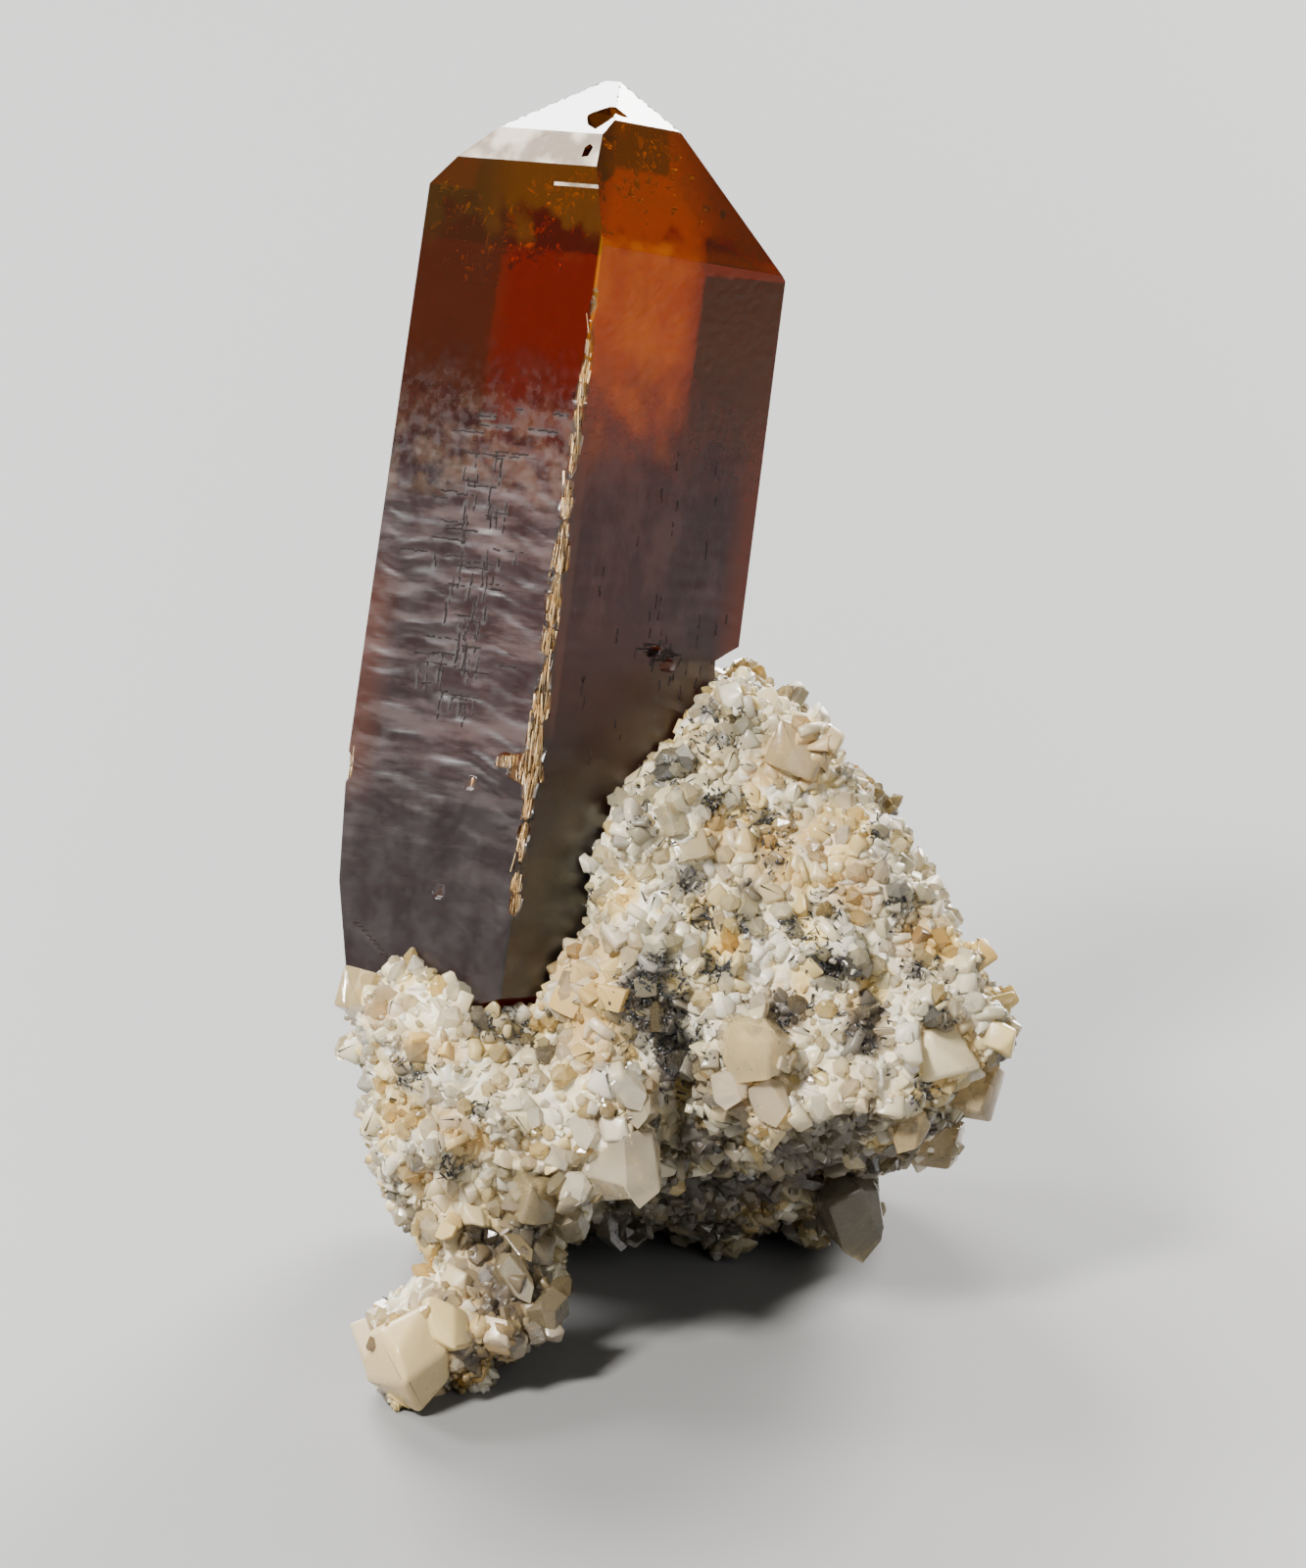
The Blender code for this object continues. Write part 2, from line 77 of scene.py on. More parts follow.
# %% The crystal's axes and the view
VIEW_RISE = math.radians(18.0)
EYE_DISTANCE = 400.0
CRYSTAL_TURN = math.radians(44.67)
CRYSTAL_LEAN_BACK = math.radians(-1.03)
CRYSTAL_LEAN_RIGHT = math.radians(7.27)
CRYSTAL_SPOT = Vector((-4.22, 0.0, 10.0))
HALF_WIDTH = 6.03
HALF_DEPTH = 6.13
TOP_SLOPE = math.radians(40.51)
TOP_HEIGHT = 24.37
CRYSTAL_FOOT = 21.0

view_turn = Matrix.Rotation(-VIEW_RISE, 3, "X")
crystal_turn = (view_turn @ Matrix.Rotation(CRYSTAL_LEAN_RIGHT, 3, "Y")
                @ Matrix.Rotation(-CRYSTAL_LEAN_BACK, 3, "X")
                @ Matrix.Rotation(-CRYSTAL_TURN, 3, "Z"))
turn = np.array(crystal_turn)


def points_of(mesh):
    """The mesh's vertices as an array."""
    flat = np.empty(len(mesh.vertices) * 3)
    mesh.vertices.foreach_get("co", flat)
    return flat.reshape(-1, 3)


turned = points_of(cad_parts["xenotime_crystal"].data) @ turn / MM
right = turned[:, 0].max() - HALF_WIDTH
back = turned[:, 1].max() - HALF_DEPTH
out, rise = math.sin(TOP_SLOPE), math.cos(TOP_SLOPE)
reach = (turned[:, 2] * rise - turned[:, 1] * out).max()
height = (reach + back * out) / rise - TOP_HEIGHT
crystal_origin = crystal_turn @ Vector((right, back, height)) * MM
view_centre = crystal_origin - view_turn @ CRYSTAL_SPOT * MM
print("crystal origin", [round(c / MM, 2) for c in crystal_origin], "mm")


def crystal_place(points):
    """Places in the room as millimetres along the crystal's own axes."""
    return (points - np.array(crystal_origin)) @ turn / MM


def seen(points):
    """Places in the room as across, up and away in millimetres of the view."""
    own = (points - np.array(view_centre)) @ np.array(view_turn) / MM
    shrink = EYE_DISTANCE / (EYE_DISTANCE + own[:, 1])
    return np.column_stack((own[:, 0] * shrink, own[:, 2] * shrink, own[:, 1]))


# %% [markdown]
# ## Camera, floor and light
# The photograph looks down at about 18 degrees through a long lens. The camera stands
# where the layout puts the eye. Large soft lamps stand round the specimen. One is
# placed where the left top face mirrors it, which is what makes that face shine white
# on the real crystal, and one behind lights the clear amber from inside.

# %% Camera
FRAME_TALL = 1600 / 22
camera_data = bpy.data.cameras.new("camera")
camera_data.sensor_width = 36.0
camera_data.lens = 36.0 * EYE_DISTANCE / FRAME_TALL
camera_data.clip_start = 0.01
camera = bpy.data.objects.new("camera", camera_data)
camera.location = view_centre + view_turn @ Vector((0, -EYE_DISTANCE, 0)) * MM
camera.rotation_euler = (math.pi / 2 - VIEW_RISE, 0, 0)
bpy.context.scene.collection.objects.link(camera)
bpy.context.scene.camera = camera
print("lens", round(camera_data.lens), "mm")


# %% Floor and lamps
def plain_material(name, color, roughness):
    material = bpy.data.materials.new(name)
    material.use_nodes = True
    shader = material.node_tree.nodes["Principled BSDF"]
    shader.inputs["Base Color"].default_value = (*color, 1.0)
    shader.inputs["Roughness"].default_value = roughness
    return material


def lamp(name, place, aim, size, power, color=(1.0, 1.0, 1.0)):
    """A square soft lamp at a place, facing another, both in metres."""
    data = bpy.data.lights.new(name, "AREA")
    data.size = size
    data.energy = power
    data.color = color
    thing = bpy.data.objects.new(name, data)
    thing.location = place
    thing.rotation_euler = (aim - place).to_track_quat("-Z", "Y").to_euler()
    bpy.context.scene.collection.objects.link(thing)


def mirror_place(face_normal, spot, distance):
    """Where a lamp stands to be mirrored to the camera by a face at a spot."""
    looking = (spot - camera.location).normalized()
    normal = (crystal_turn @ face_normal).normalized()
    return spot + (looking - 2 * looking.dot(normal) * normal) * distance


bpy.ops.object.select_all(action="DESELECT")
bpy.ops.mesh.primitive_plane_add(size=6.0)
floor = bpy.context.object
floor.name = "floor"
floor.data.materials.append(plain_material("pale_floor", (0.22, 0.22, 0.22), 0.55))
floor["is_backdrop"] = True

world = bpy.data.worlds.new("soft_room")
world.use_nodes = True
world.node_tree.nodes["Background"].inputs["Color"].default_value = (0.80, 0.82, 0.85, 1)
world.node_tree.nodes["Background"].inputs["Strength"].default_value = 0.10
bpy.context.scene.world = world

STEEP_SLOPE = math.radians(69.07)
middle = view_centre.copy()
crown = crystal_origin + crystal_turn @ Vector((0, -1, 21)) * MM
top_left = Vector((0, -math.sin(TOP_SLOPE), math.cos(TOP_SLOPE)))
top_right = Vector((math.sin(TOP_SLOPE), 0, math.cos(TOP_SLOPE)))
steep_left = Vector((0, -math.sin(STEEP_SLOPE), math.cos(STEEP_SLOPE)))
lamp("left_top_lamp", mirror_place(top_left, crown, 0.5), crown, 0.20, 4.2)
lamp("right_top_lamp", mirror_place(top_right, crown, 0.5), crown, 0.20, 4.2)
lamp("sheen_lamp", mirror_place(steep_left, crown, 0.5), middle, 0.16, 3.2)
lamp("key_lamp", middle + Vector((-0.30, -0.42, 0.48)), middle, 0.13, 13.5,
     (1.0, 0.97, 0.92))
lamp("fill_lamp", middle + Vector((0.30, -0.60, 0.30)), middle, 0.35, 1.2)
lamp("back_lamp", middle + Vector((0.30, 0.50, 0.30)), middle, 0.30, 6.0,
     (1.0, 0.95, 0.88))

# %% [markdown]
# ## Shared shader pieces
# Every mineral surface here is a little uneven at a scale below what is modelled. One
# node group makes that unevenness, so each finish can use it with its own scale: it
# puts out a height for a Bump node and a mottle that varies colour and roughness.


# %% The fine_unevenness group
def build_fine_unevenness():
    group = bpy.data.node_groups.new("fine_unevenness", "ShaderNodeTree")
    face = group.interface
    face.new_socket("Vector", in_out="INPUT", socket_type="NodeSocketVector")
    face.new_socket("Scale", in_out="INPUT", socket_type="NodeSocketFloat")
    face.new_socket("Height", in_out="OUTPUT", socket_type="NodeSocketFloat")
    face.new_socket("Mottle", in_out="OUTPUT", socket_type="NodeSocketFloat")
    nodes, links = group.nodes, group.links
    start = nodes.new("NodeGroupInput")
    end = nodes.new("NodeGroupOutput")
    fine = nodes.new("ShaderNodeTexNoise")
    fine.inputs["Detail"].default_value = 5.0
    coarse = nodes.new("ShaderNodeTexNoise")
    coarse.inputs["Detail"].default_value = 3.0
    smaller = nodes.new("ShaderNodeMath")
    smaller.operation = "MULTIPLY"
    smaller.inputs[1].default_value = 0.22
    links.new(start.outputs["Vector"], fine.inputs["Vector"])
    links.new(start.outputs["Vector"], coarse.inputs["Vector"])
    links.new(start.outputs["Scale"], fine.inputs["Scale"])
    links.new(start.outputs["Scale"], smaller.inputs[0])
    links.new(smaller.outputs[0], coarse.inputs["Scale"])
    links.new(fine.outputs["Fac"], end.inputs["Height"])
    links.new(coarse.outputs["Fac"], end.inputs["Mottle"])
    return group


fine_unevenness = build_fine_unevenness()


class Finish:
    """A material under construction, with short ways to add the nodes used here."""

    def __init__(self, name):
        self.material = bpy.data.materials.new(name)
        self.material.use_nodes = True
        self.tree = self.material.node_tree
        self.shader = self.tree.nodes["Principled BSDF"]

    def plain(self, **values):
        for name, value in values.items():
            self.shader.inputs[name.replace("_", " ")].default_value = value

    def node(self, kind):
        return self.tree.nodes.new(kind)

    def join(self, out_socket, in_socket):
        self.tree.links.new(out_socket, in_socket)

    def attribute(self, name):
        node = self.node("ShaderNodeAttribute")
        node.attribute_name = name
        return node.outputs["Fac"]

    def object_place(self):
        return self.node("ShaderNodeTexCoord").outputs["Object"]

    def mix(self, share, first, second):
        """A colour between two, each a colour or a socket, by a share socket."""
        node = self.node("ShaderNodeMix")
        node.data_type = "RGBA"
        self.join(share, node.inputs["Factor"])
        for value, place in ((first, 6), (second, 7)):
            if isinstance(value, tuple):
                node.inputs[place].default_value = (*value, 1.0)
            else:
                self.join(value, node.inputs[place])
        return node.outputs[2]

    def span(self, value, low, high, to_low=0.0, to_high=1.0):
        """Turns low to high of a value into to_low to to_high, smoothly."""
        node = self.node("ShaderNodeMapRange")
        node.interpolation_type = "SMOOTHSTEP"
        self.join(value, node.inputs["Value"])
        for name, number in (("From Min", low), ("From Max", high),
                             ("To Min", to_low), ("To Max", to_high)):
            node.inputs[name].default_value = number
        return node.outputs["Result"]

    def maths(self, operation, first, second):
        node = self.node("ShaderNodeMath")
        node.operation = operation
        for place, value in enumerate((first, second)):
            if isinstance(value, (int, float)):
                node.inputs[place].default_value = value
            else:
                self.join(value, node.inputs[place])
        return node.outputs[0]

    def unevenness(self, place, scale):
        node = self.node("ShaderNodeGroup")
        node.node_tree = fine_unevenness
        self.join(place, node.inputs["Vector"])
        node.inputs["Scale"].default_value = scale
        return node.outputs["Height"], node.outputs["Mottle"]

    def bump(self, height_socket, strength, distance):
        node = self.node("ShaderNodeBump")
        node.inputs["Strength"].default_value = strength
        node.inputs["Distance"].default_value = distance
        self.join(height_socket, node.inputs["Height"])
        self.join(node.outputs["Normal"], self.shader.inputs["Normal"])


# %% [markdown]
# ## The large crystal
# Its faces are flat, with ripples across the left one, thin upright and level grooves
# where it was etched, and a chipped front edge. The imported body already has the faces
# and the chips, so a copy of it is merged, its flat faces are made whole again and
# sliced into a fine grid along its own axes, and the grid is pressed in by the ripples
# and grooves. It is only ever pressed in, so the crystal stays inside its packed size.


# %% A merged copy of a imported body
def merged_copy(node, name):
    """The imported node's shape as a new object of its own, with its doubles merged."""
    thing = bpy.data.objects.new(name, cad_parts[node].data.copy())
    bpy.context.scene.collection.objects.link(thing)
    bpy.ops.object.select_all(action="DESELECT")
    thing.select_set(True)
    bpy.context.view_layer.objects.active = thing
    bpy.ops.object.mode_set(mode="EDIT")
    bpy.ops.mesh.select_all(action="SELECT")
    bpy.ops.mesh.remove_doubles(threshold=0.0000005)
    bpy.ops.object.mode_set(mode="OBJECT")
    thing.data.materials.clear()
    return thing


def store(mesh, name, values):
    layer = mesh.attributes.new(name, "FLOAT", "POINT")
    layer.data.foreach_set("value", np.asarray(values, dtype=np.float32))


def finish_piece(thing, material):
    thing.data.materials.append(material)
    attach(thing, "root")
    thing.data.calc_loop_triangles()
    print(thing.name, len(thing.data.loop_triangles), "triangles")


# %% Slice the crystal into a fine grid
# Axis and step in millimetres: the length first, because each cut acts on all faces
GRID = ((2, 0.17), (0, 0.14), (1, 0.30))

crystal = merged_copy("xenotime_crystal", "crystal_surface")
own = crystal_place(points_of(crystal.data))
crystal.data.vertices.foreach_set("co", own.ravel())
bpy.ops.object.mode_set(mode="EDIT")
bpy.ops.mesh.select_all(action="SELECT")
bpy.ops.mesh.dissolve_limited(angle_limit=math.radians(0.6))
low, high = own.min(axis=0), own.max(axis=0)
for axis, step in GRID:
    direction = [0.0, 0.0, 0.0]
    direction[axis] = 1.0
    for place in np.arange(low[axis] + step / 2, high[axis], step):
        through = [0.0, 0.0, 0.0]
        through[axis] = float(place)
        bpy.ops.mesh.select_all(action="SELECT")
        bpy.ops.mesh.bisect(plane_co=through, plane_no=direction, threshold=0.0002)
bpy.ops.object.mode_set(mode="OBJECT")
print("crystal grid", len(crystal.data.polygons), "faces")

# %% The ideal faces
# Each is the way it faces and its distance from the origin, in the crystal's own axes
TAPER = 0.0108


def end_face(side, slope, height):
    slope = math.radians(slope)
    normal = (side[0] * math.sin(slope), side[1] * math.sin(slope), math.cos(slope))
    return normal, height * math.cos(slope)


side_faces = (
    ((0, -1, TAPER), HALF_DEPTH), ((1, 0, 0), HALF_WIDTH),
    ((0, 1, 0), HALF_DEPTH), ((-1, 0, TAPER), HALF_WIDTH),
)
ideal_faces = side_faces + (
    end_face((0, -1), 40.51, 24.37), end_face((1, 0), 40.62, 24.19),
    end_face((0, 1), 43.93, 20.42), end_face((-1, 0), 39.45, 21.74),
    end_face((0, -1), 69.07, 33.78), end_face((1, 0), 73.02, 34.49),
)
STEEP_LEFT = 8
# The planes of the broken lower end and left edge: a place on each and the way it faces
BREAKS = (
    ((0, 0, -CRYSTAL_FOOT), (0.30, 0.10, -0.95)), ((0, 0, -CRYSTAL_FOOT), (-0.28, 0.12, -0.95)),
    ((-6.14, -6.24, -10.5), (-0.706, -0.706, -0.064)),
    ((-5.94, -6.05, -15.4), (-0.690, -0.690, -0.210)),
)
for place, way in BREAKS:
    normal = np.array(way) / np.linalg.norm(way)
    ideal_faces += ((tuple(normal), float(normal @ np.array(place))),)


def gaps_to_faces(points):
    """How deep each point lies under each ideal face, in millimetres."""
    gaps = [distance - points @ np.array(normal) for normal, distance in ideal_faces]
    return np.array(gaps)


def depth_inside(points):
    """How deep each point lies under the nearest ideal face, in millimetres."""
    return gaps_to_faces(points).min(axis=0)


# %% Press in the ripples and the grooves
RIPPLE_DEEP = 0.10
RIPPLE_SHARES = (1.0, 0.16, 0.5, 0.6)
GROOVE_DEEP = 0.06
UPRIGHT_GROOVES = 60
LEVEL_GROOVES = 46
EDGE_KEEP = 0.35
ON_FACE = 0.012


def noise_at(points, stretch, offset=0.0):
    """Smooth noise from -1 to 1 at each point, stretched by a factor for each axis."""
    size = np.array(stretch)
    return np.array([noise.noise(Vector(point * size + offset)) for point in points])


own = points_of(crystal.data)
x, y, z = own.T
gaps = gaps_to_faces(own)
deep = gaps.min(axis=0)
bent = own.copy()
bent[:, 2] += 0.12 * x + 1.1 * noise_at(own, (0.25, 0.25, 0.12), 31.0)
ripple = (0.7 * noise_at(bent, (0.28, 0.28, 1.9))
          + 0.7 * noise_at(bent, (0.50, 0.50, 3.7), 7.0))
ripple = np.clip(ripple * 1.1 + 0.45, 0, 1.3)
rough_part = np.clip((10.0 - z) / 9.0, 0.0, 1.0) ** 1.7 * np.clip((z + 15.0) / 5.0, 0.35, 1.0)
press = np.zeros_like(own)
groove = np.zeros(len(own))
for number, (way, _) in enumerate(side_faces):
    others = np.delete(gaps, number, axis=0).min(axis=0)
    on_face = (gaps[number] < ON_FACE) * np.clip(others / EDGE_KEEP, 0, 1)
    amount = ripple * rough_part * RIPPLE_DEEP * RIPPLE_SHARES[number] * on_face
    press -= np.array(way)[None, :] * amount[:, None]

rng = np.random.default_rng(11)
on_left = (gaps[0] < ON_FACE) & (np.delete(gaps, 0, axis=0).min(axis=0) > 0.1)


slits = []


def cut_groove(middle_x, middle_z, half_x, half_z, share):
    """Presses one groove into the left face and notes it for the black slits."""
    inside = (abs(x - middle_x) < half_x) & (abs(z - middle_z) < half_z) & on_left
    groove[inside] = np.maximum(groove[inside], share)
    slits.append(("left", middle_x, middle_z, half_x, half_z))


for _ in range(UPRIGHT_GROOVES):
    cut_groove(rng.normal(0.3, 1.3), rng.uniform(-7.5, 4.5), 0.085,
               rng.uniform(0.12, 0.7), rng.uniform(0.5, 1.0))
for _ in range(LEVEL_GROOVES):
    cut_groove(rng.normal(0.4, 1.7), rng.uniform(-7.0, 7.5), rng.uniform(0.2, 1.1),
               0.095, rng.uniform(0.3, 0.8))
press[:, 1] += groove * GROOVE_DEEP

# A ragged hollow lies on the right face, above the matrix, with specks round it
for _ in range(34):
    slits.append(("right", rng.normal(1.1, 0.55), rng.normal(-3.35, 0.16),
                  rng.uniform(0.2, 0.6), 0.08))
for _ in range(26):
    slits.append(("right", rng.uniform(0.0, 6.0), rng.normal(-2.9, 1.0), 0.05,
                  rng.uniform(0.1, 0.3)))
for _ in range(22):
    slits.append(("right", rng.uniform(-4.5, 4.5), rng.uniform(-9.0, 6.0), 0.05,
                  rng.uniform(0.2, 0.5)))
# A crack runs across the left face low down
for middle_x in np.arange(-4.0, 2.0, 0.3):
    middle_z = float(np.interp(middle_x, (-4.0, -1.8, 2.0), (-17.4, -18.7, -19.4)))
    slits.append(("left", middle_x, middle_z, 0.2, 0.08))
crack = np.interp(x, (-4.0, -1.8, 2.0), (-17.4, -18.7, -19.4))
in_crack = on_left & (abs(z - crack) < 0.11) & (x > -4.2) & (x < 2.0)
press[in_crack, 1] += 0.03
placed = (own + press) * MM @ turn.T + np.array(crystal_origin)
crystal.data.vertices.foreach_set("co", placed.ravel())
crystal.data.update()
print("pressed in by up to", round(float(np.abs(press).max()), 2), "mm")

# %% Mark where the crystal is broken or etched
splinter = noise_at(own, (5.0, 5.0, 0.9), 3.0)
store(crystal.data, "broken", np.clip((deep - 0.05) / 0.08, 0, 1) * (z > -19.5))
store(crystal.data, "splinter", splinter * 0.5 + 0.5)
store(crystal.data, "etched", groove)
print("broken points", int((deep > 0.13).sum()))

# %% [markdown]
# ## The crystal's finish
# The real crystal is clear amber at the top, glows red-orange just below, and turns to
# a dark purple-brown with a silvery etched sheen. Light has to pass through it, so it
# is glass with plain transmission and refraction, and an amber absorption inside. What
# changes over the surface is the tint of what passes through, and the roughness. On the
# etched streaks and wisps that tint is a pale grey, a painted sheen, and low on the right
# face it is painted darker as shade. A Mapping node turns Object coordinates into the
# crystal's own axes in millimetres, and the zones are bands of those axes with wavy
# borders. The narrow frosted band under the top is milky instead, so it has a finish of
# its own.

# %% Amber finish: where things are on it
amber = Finish("amber_xenotime")
amber.plain(IOR=1.75, Specular_IOR_Level=0.16, Transmission_Weight=0.82, Metallic=0.0)
mapping = amber.node("ShaderNodeMapping")
mapping.inputs["Scale"].default_value = (1 / MM, 1 / MM, 1 / MM)
mapping.inputs["Rotation"].default_value = crystal_turn.transposed().to_euler()
mapping.inputs["Location"].default_value = (
    crystal_turn.transposed() @ crystal_origin / -MM)
amber.join(amber.object_place(), mapping.inputs["Vector"])
own_place = mapping.outputs["Vector"]
axes = amber.node("ShaderNodeSeparateXYZ")
amber.join(own_place, axes.inputs["Vector"])
own_x, own_y, own_z = axes.outputs
height_uneven, mottle = amber.unevenness(own_place, 2.2)
wave = amber.span(mottle, 0.3, 0.7, -1.3, 1.3)
wavy_z = amber.maths("ADD", own_z, wave)
# From the front edge, 12, to the outer edges of the two front faces, 0
from_edge = amber.maths("SUBTRACT", own_x, own_y)
# From the right rim, 12, to the left rim, -12
to_right = amber.maths("ADD", own_x, own_y)


def streaks(scales, low, high, detail=6.0):
    """Noise stretched along the crystal's axes, as a share from 0 to 1."""
    stretch = amber.node("ShaderNodeMapping")
    stretch.inputs["Scale"].default_value = scales
    noise_node = amber.node("ShaderNodeTexNoise")
    noise_node.inputs["Scale"].default_value = 1.0
    noise_node.inputs["Detail"].default_value = detail
    noise_node.inputs["Roughness"].default_value = 0.6
    amber.join(own_place, stretch.inputs["Vector"])
    amber.join(stretch.outputs["Vector"], noise_node.inputs["Vector"])
    return amber.span(noise_node.outputs["Fac"], low, high)


def both(*shares):
    """The product of several shares."""
    product = shares[0]
    for share in shares[1:]:
        product = amber.maths("MULTIPLY", product, share)
    return product


# %% Amber finish: the colour zones
LEFT_AMBER = (0.22, 0.070, 0.005)
RIGHT_AMBER = (0.38, 0.110, 0.006)
RED_ORANGE = (0.12, 0.011, 0.001)
OLIVE_BROWN = (0.11, 0.050, 0.008)
WARM_BROWN = (0.10, 0.028, 0.008)
BACK_AMBER = (0.31, 0.065, 0.004)
DARK_BODY = (0.035, 0.013, 0.013)
DEEP_SHADE = (0.010, 0.005, 0.004)
PAINTED_SHEEN_GREY = (0.21, 0.16, 0.155)
TAN_FROST = (0.24, 0.16, 0.095)
RIM_GLOW = (0.30, 0.060, 0.008)
RIGHT_ORANGE = (0.70, 0.30, 0.008)
RIGHT_RED = (0.52, 0.17, 0.004)
RIGHT_BROWN = (0.21, 0.066, 0.010)
FRACTURE_GOLD = (0.78, 0.50, 0.20)
FRACTURE_DARK = (0.14, 0.05, 0.02)
ETCH_BLACK = (0.012, 0.007, 0.007)

on_left_face = amber.span(own_y, -5.7, -5.95)
on_right_face = amber.span(own_x, 5.75, 5.95)
in_front = amber.span(from_edge, -0.4, 0.2)
in_top = amber.span(wavy_z, 14.8, 16.4)
above_body = amber.span(wavy_z, 3.0, 11.0)
in_glow = both(above_body, amber.span(from_edge, 5.0, 6.8))
# Etched streaks low down: rougher, and painted pale grey as a sheen
etch_and_sheen_streaks = both(streaks((0.22, 0.22, 1.1), 0.44, 0.66), amber.span(own_z, 10.5, 3.0),
              amber.span(own_z, -18.0, -6.0, 0.05, 1.0))
etch_and_sheen_left = both(etch_and_sheen_streaks, on_left_face)
# Wisps on the right face, painted pale grey as a sheen
painted_sheen_wisps = both(streaks((0.30, 0.42, 0.26), 0.44, 0.68), amber.span(own_z, 10.0, 4.5),
             amber.span(own_z, -3.5, -1.5), on_right_face, amber.span(own_y, 5.2, 4.2))
tan_frost = both(on_left_face, amber.span(own_z, 2.0, 3.4), amber.span(own_z, 10.5, 5.5),
                 streaks((0.7, 0.7, 0.9), 0.42, 0.60))
right_rim = both(amber.span(to_right, 10.2, 11.8), amber.span(own_z, -6.0, -3.0),
                 amber.span(own_z, 14.0, 12.0))
left_rim = both(amber.span(to_right, -9.9, -11.9), amber.span(own_z, 0.5, -2.5),
                amber.span(own_z, -13.0, -9.5))
pale_band = both(on_right_face, amber.span(own_y, -5.0, -5.3), amber.span(own_z, -8.2, -6.5),
                 amber.span(own_z, 9.6, 8.6))

in_shade = both(on_right_face, amber.span(own_z, -4.0, -11.0))
body = amber.mix(in_shade, DARK_BODY, DEEP_SHADE)
# Painted sheen: the etched streaks and wisps lighten the dark body to a silvery grey
body = amber.mix(etch_and_sheen_left, body, PAINTED_SHEEN_GREY)
painted_sheen_back = both(etch_and_sheen_streaks, amber.span(from_edge, -0.4, -1.5, 0.0, 0.6))
body = amber.mix(painted_sheen_back, body, PAINTED_SHEEN_GREY)
body = amber.mix(amber.maths("MULTIPLY", painted_sheen_wisps, 0.45), body, PAINTED_SHEEN_GREY)
body = amber.mix(amber.maths("MULTIPLY", tan_frost, 0.7), body, TAN_FROST)
body = amber.mix(amber.maths("MULTIPLY", pale_band, 0.35), body, TAN_FROST)
body = amber.mix(amber.maths("MULTIPLY", right_rim, 0.6), body, RIM_GLOW)
body = amber.mix(amber.maths("MULTIPLY", left_rim, 0.4), body, RIM_GLOW)
browns = amber.mix(on_right_face, WARM_BROWN, RIGHT_BROWN)
clouded = streaks((0.5, 0.5, 0.35), 0.35, 0.6)
right_glow = amber.mix(clouded, RIGHT_RED, RIGHT_ORANGE)
oranges = amber.mix(on_right_face, RED_ORANGE, right_glow)
middle_part = amber.mix(in_glow, browns, oranges)
middle_part = amber.mix(in_front, BACK_AMBER, middle_part)
body = amber.mix(above_body, body, middle_part)
clear_part = amber.mix(amber.span(to_right, -0.6, 0.6), LEFT_AMBER, RIGHT_AMBER)
top_part = amber.mix(both(in_front, amber.span(from_edge, 6.4, 2.6)), clear_part,
                     OLIVE_BROWN)
body = amber.mix(in_top, body, top_part)
golden = both(amber.attribute("splinter"), amber.span(from_edge, 8.5, 10.0))
fracture = amber.mix(golden, FRACTURE_DARK, FRACTURE_GOLD)
body = amber.mix(both(amber.attribute("broken"), amber.span(own_z, 16.0, 14.0)), body,
                 fracture)
body = amber.mix(amber.attribute("etched"), body, ETCH_BLACK)
amber.join(body, amber.shader.inputs["Base Color"])

# %% Amber finish: roughness, relief and absorption
lower_down = amber.span(wavy_z, 11.0, 3.5, 0.07, 0.38)
roughness = amber.maths("ADD", lower_down, amber.span(mottle, 0.35, 0.7, -0.03, 0.07))
roughness = amber.maths("ADD", roughness, amber.maths("MULTIPLY", etch_and_sheen_left, 0.06))
frosty_grain = both(amber.span(height_uneven, 0.35, 0.65, -0.10, 0.10),
                    amber.span(own_z, 13.0, 8.0), amber.span(own_z, 0.0, 6.0, 0.22, 1.0))
roughness = amber.maths("ADD", roughness, frosty_grain)
roughness = amber.maths("ADD", roughness, amber.maths(
    "MULTIPLY", amber.attribute("etched"), 0.4))
amber.join(roughness, amber.shader.inputs["Roughness"])
amber.bump(height_uneven, 0.22, 0.00004)

# %% The absorption inside the crystal
absorption = amber.node("ShaderNodeVolumeAbsorption")
absorption.inputs["Color"].default_value = (0.92, 0.553, 0.027, 1.0)
absorption.inputs["Density"].default_value = 400.0
amber.join(absorption.outputs["Volume"],
           amber.tree.nodes["Material Output"].inputs["Volume"])
finish_piece(crystal, amber.material)
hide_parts("xenotime_crystal")

# %% The frosted band
frost = Finish("frosted_band")
frost_height, frost_mottle = frost.unevenness(frost.object_place(), 2200.0)
frost.join(frost.mix(frost.span(frost_mottle, 0.40, 0.60), (0.22, 0.165, 0.11),
                     (0.62, 0.52, 0.41)), frost.shader.inputs["Base Color"])
frost.plain(Roughness=0.5, IOR=1.75, Transmission_Weight=0.15, Specular_IOR_Level=0.12)
frost.bump(frost_height, 0.8, 0.00008)
crystal.data.materials.append(frost.material)
centres = np.empty(len(crystal.data.polygons) * 3)
crystal.data.polygons.foreach_get("center", centres)
own_centres = crystal_place(centres.reshape(-1, 3))
face_gaps = gaps_to_faces(own_centres)
frosted = (face_gaps.argmin(axis=0) == STEEP_LEFT) & (face_gaps[STEEP_LEFT] < 0.02)
# A thin frosted ledge runs just below the band, on its right half
frosted |= ((face_gaps[0] < 0.03) & (abs(own_centres[:, 2] - 17.35) < 0.09)
            & (own_centres[:, 0] > 1.9) & (own_centres[:, 0] < 5.9)
            & (noise_at(own_centres, (1.6, 1.6, 1.6), 5.0) > -0.16))
crystal.data.polygons.foreach_set("material_index", frosted.astype(np.int32))
print("frosted faces", int(frosted.sum()))

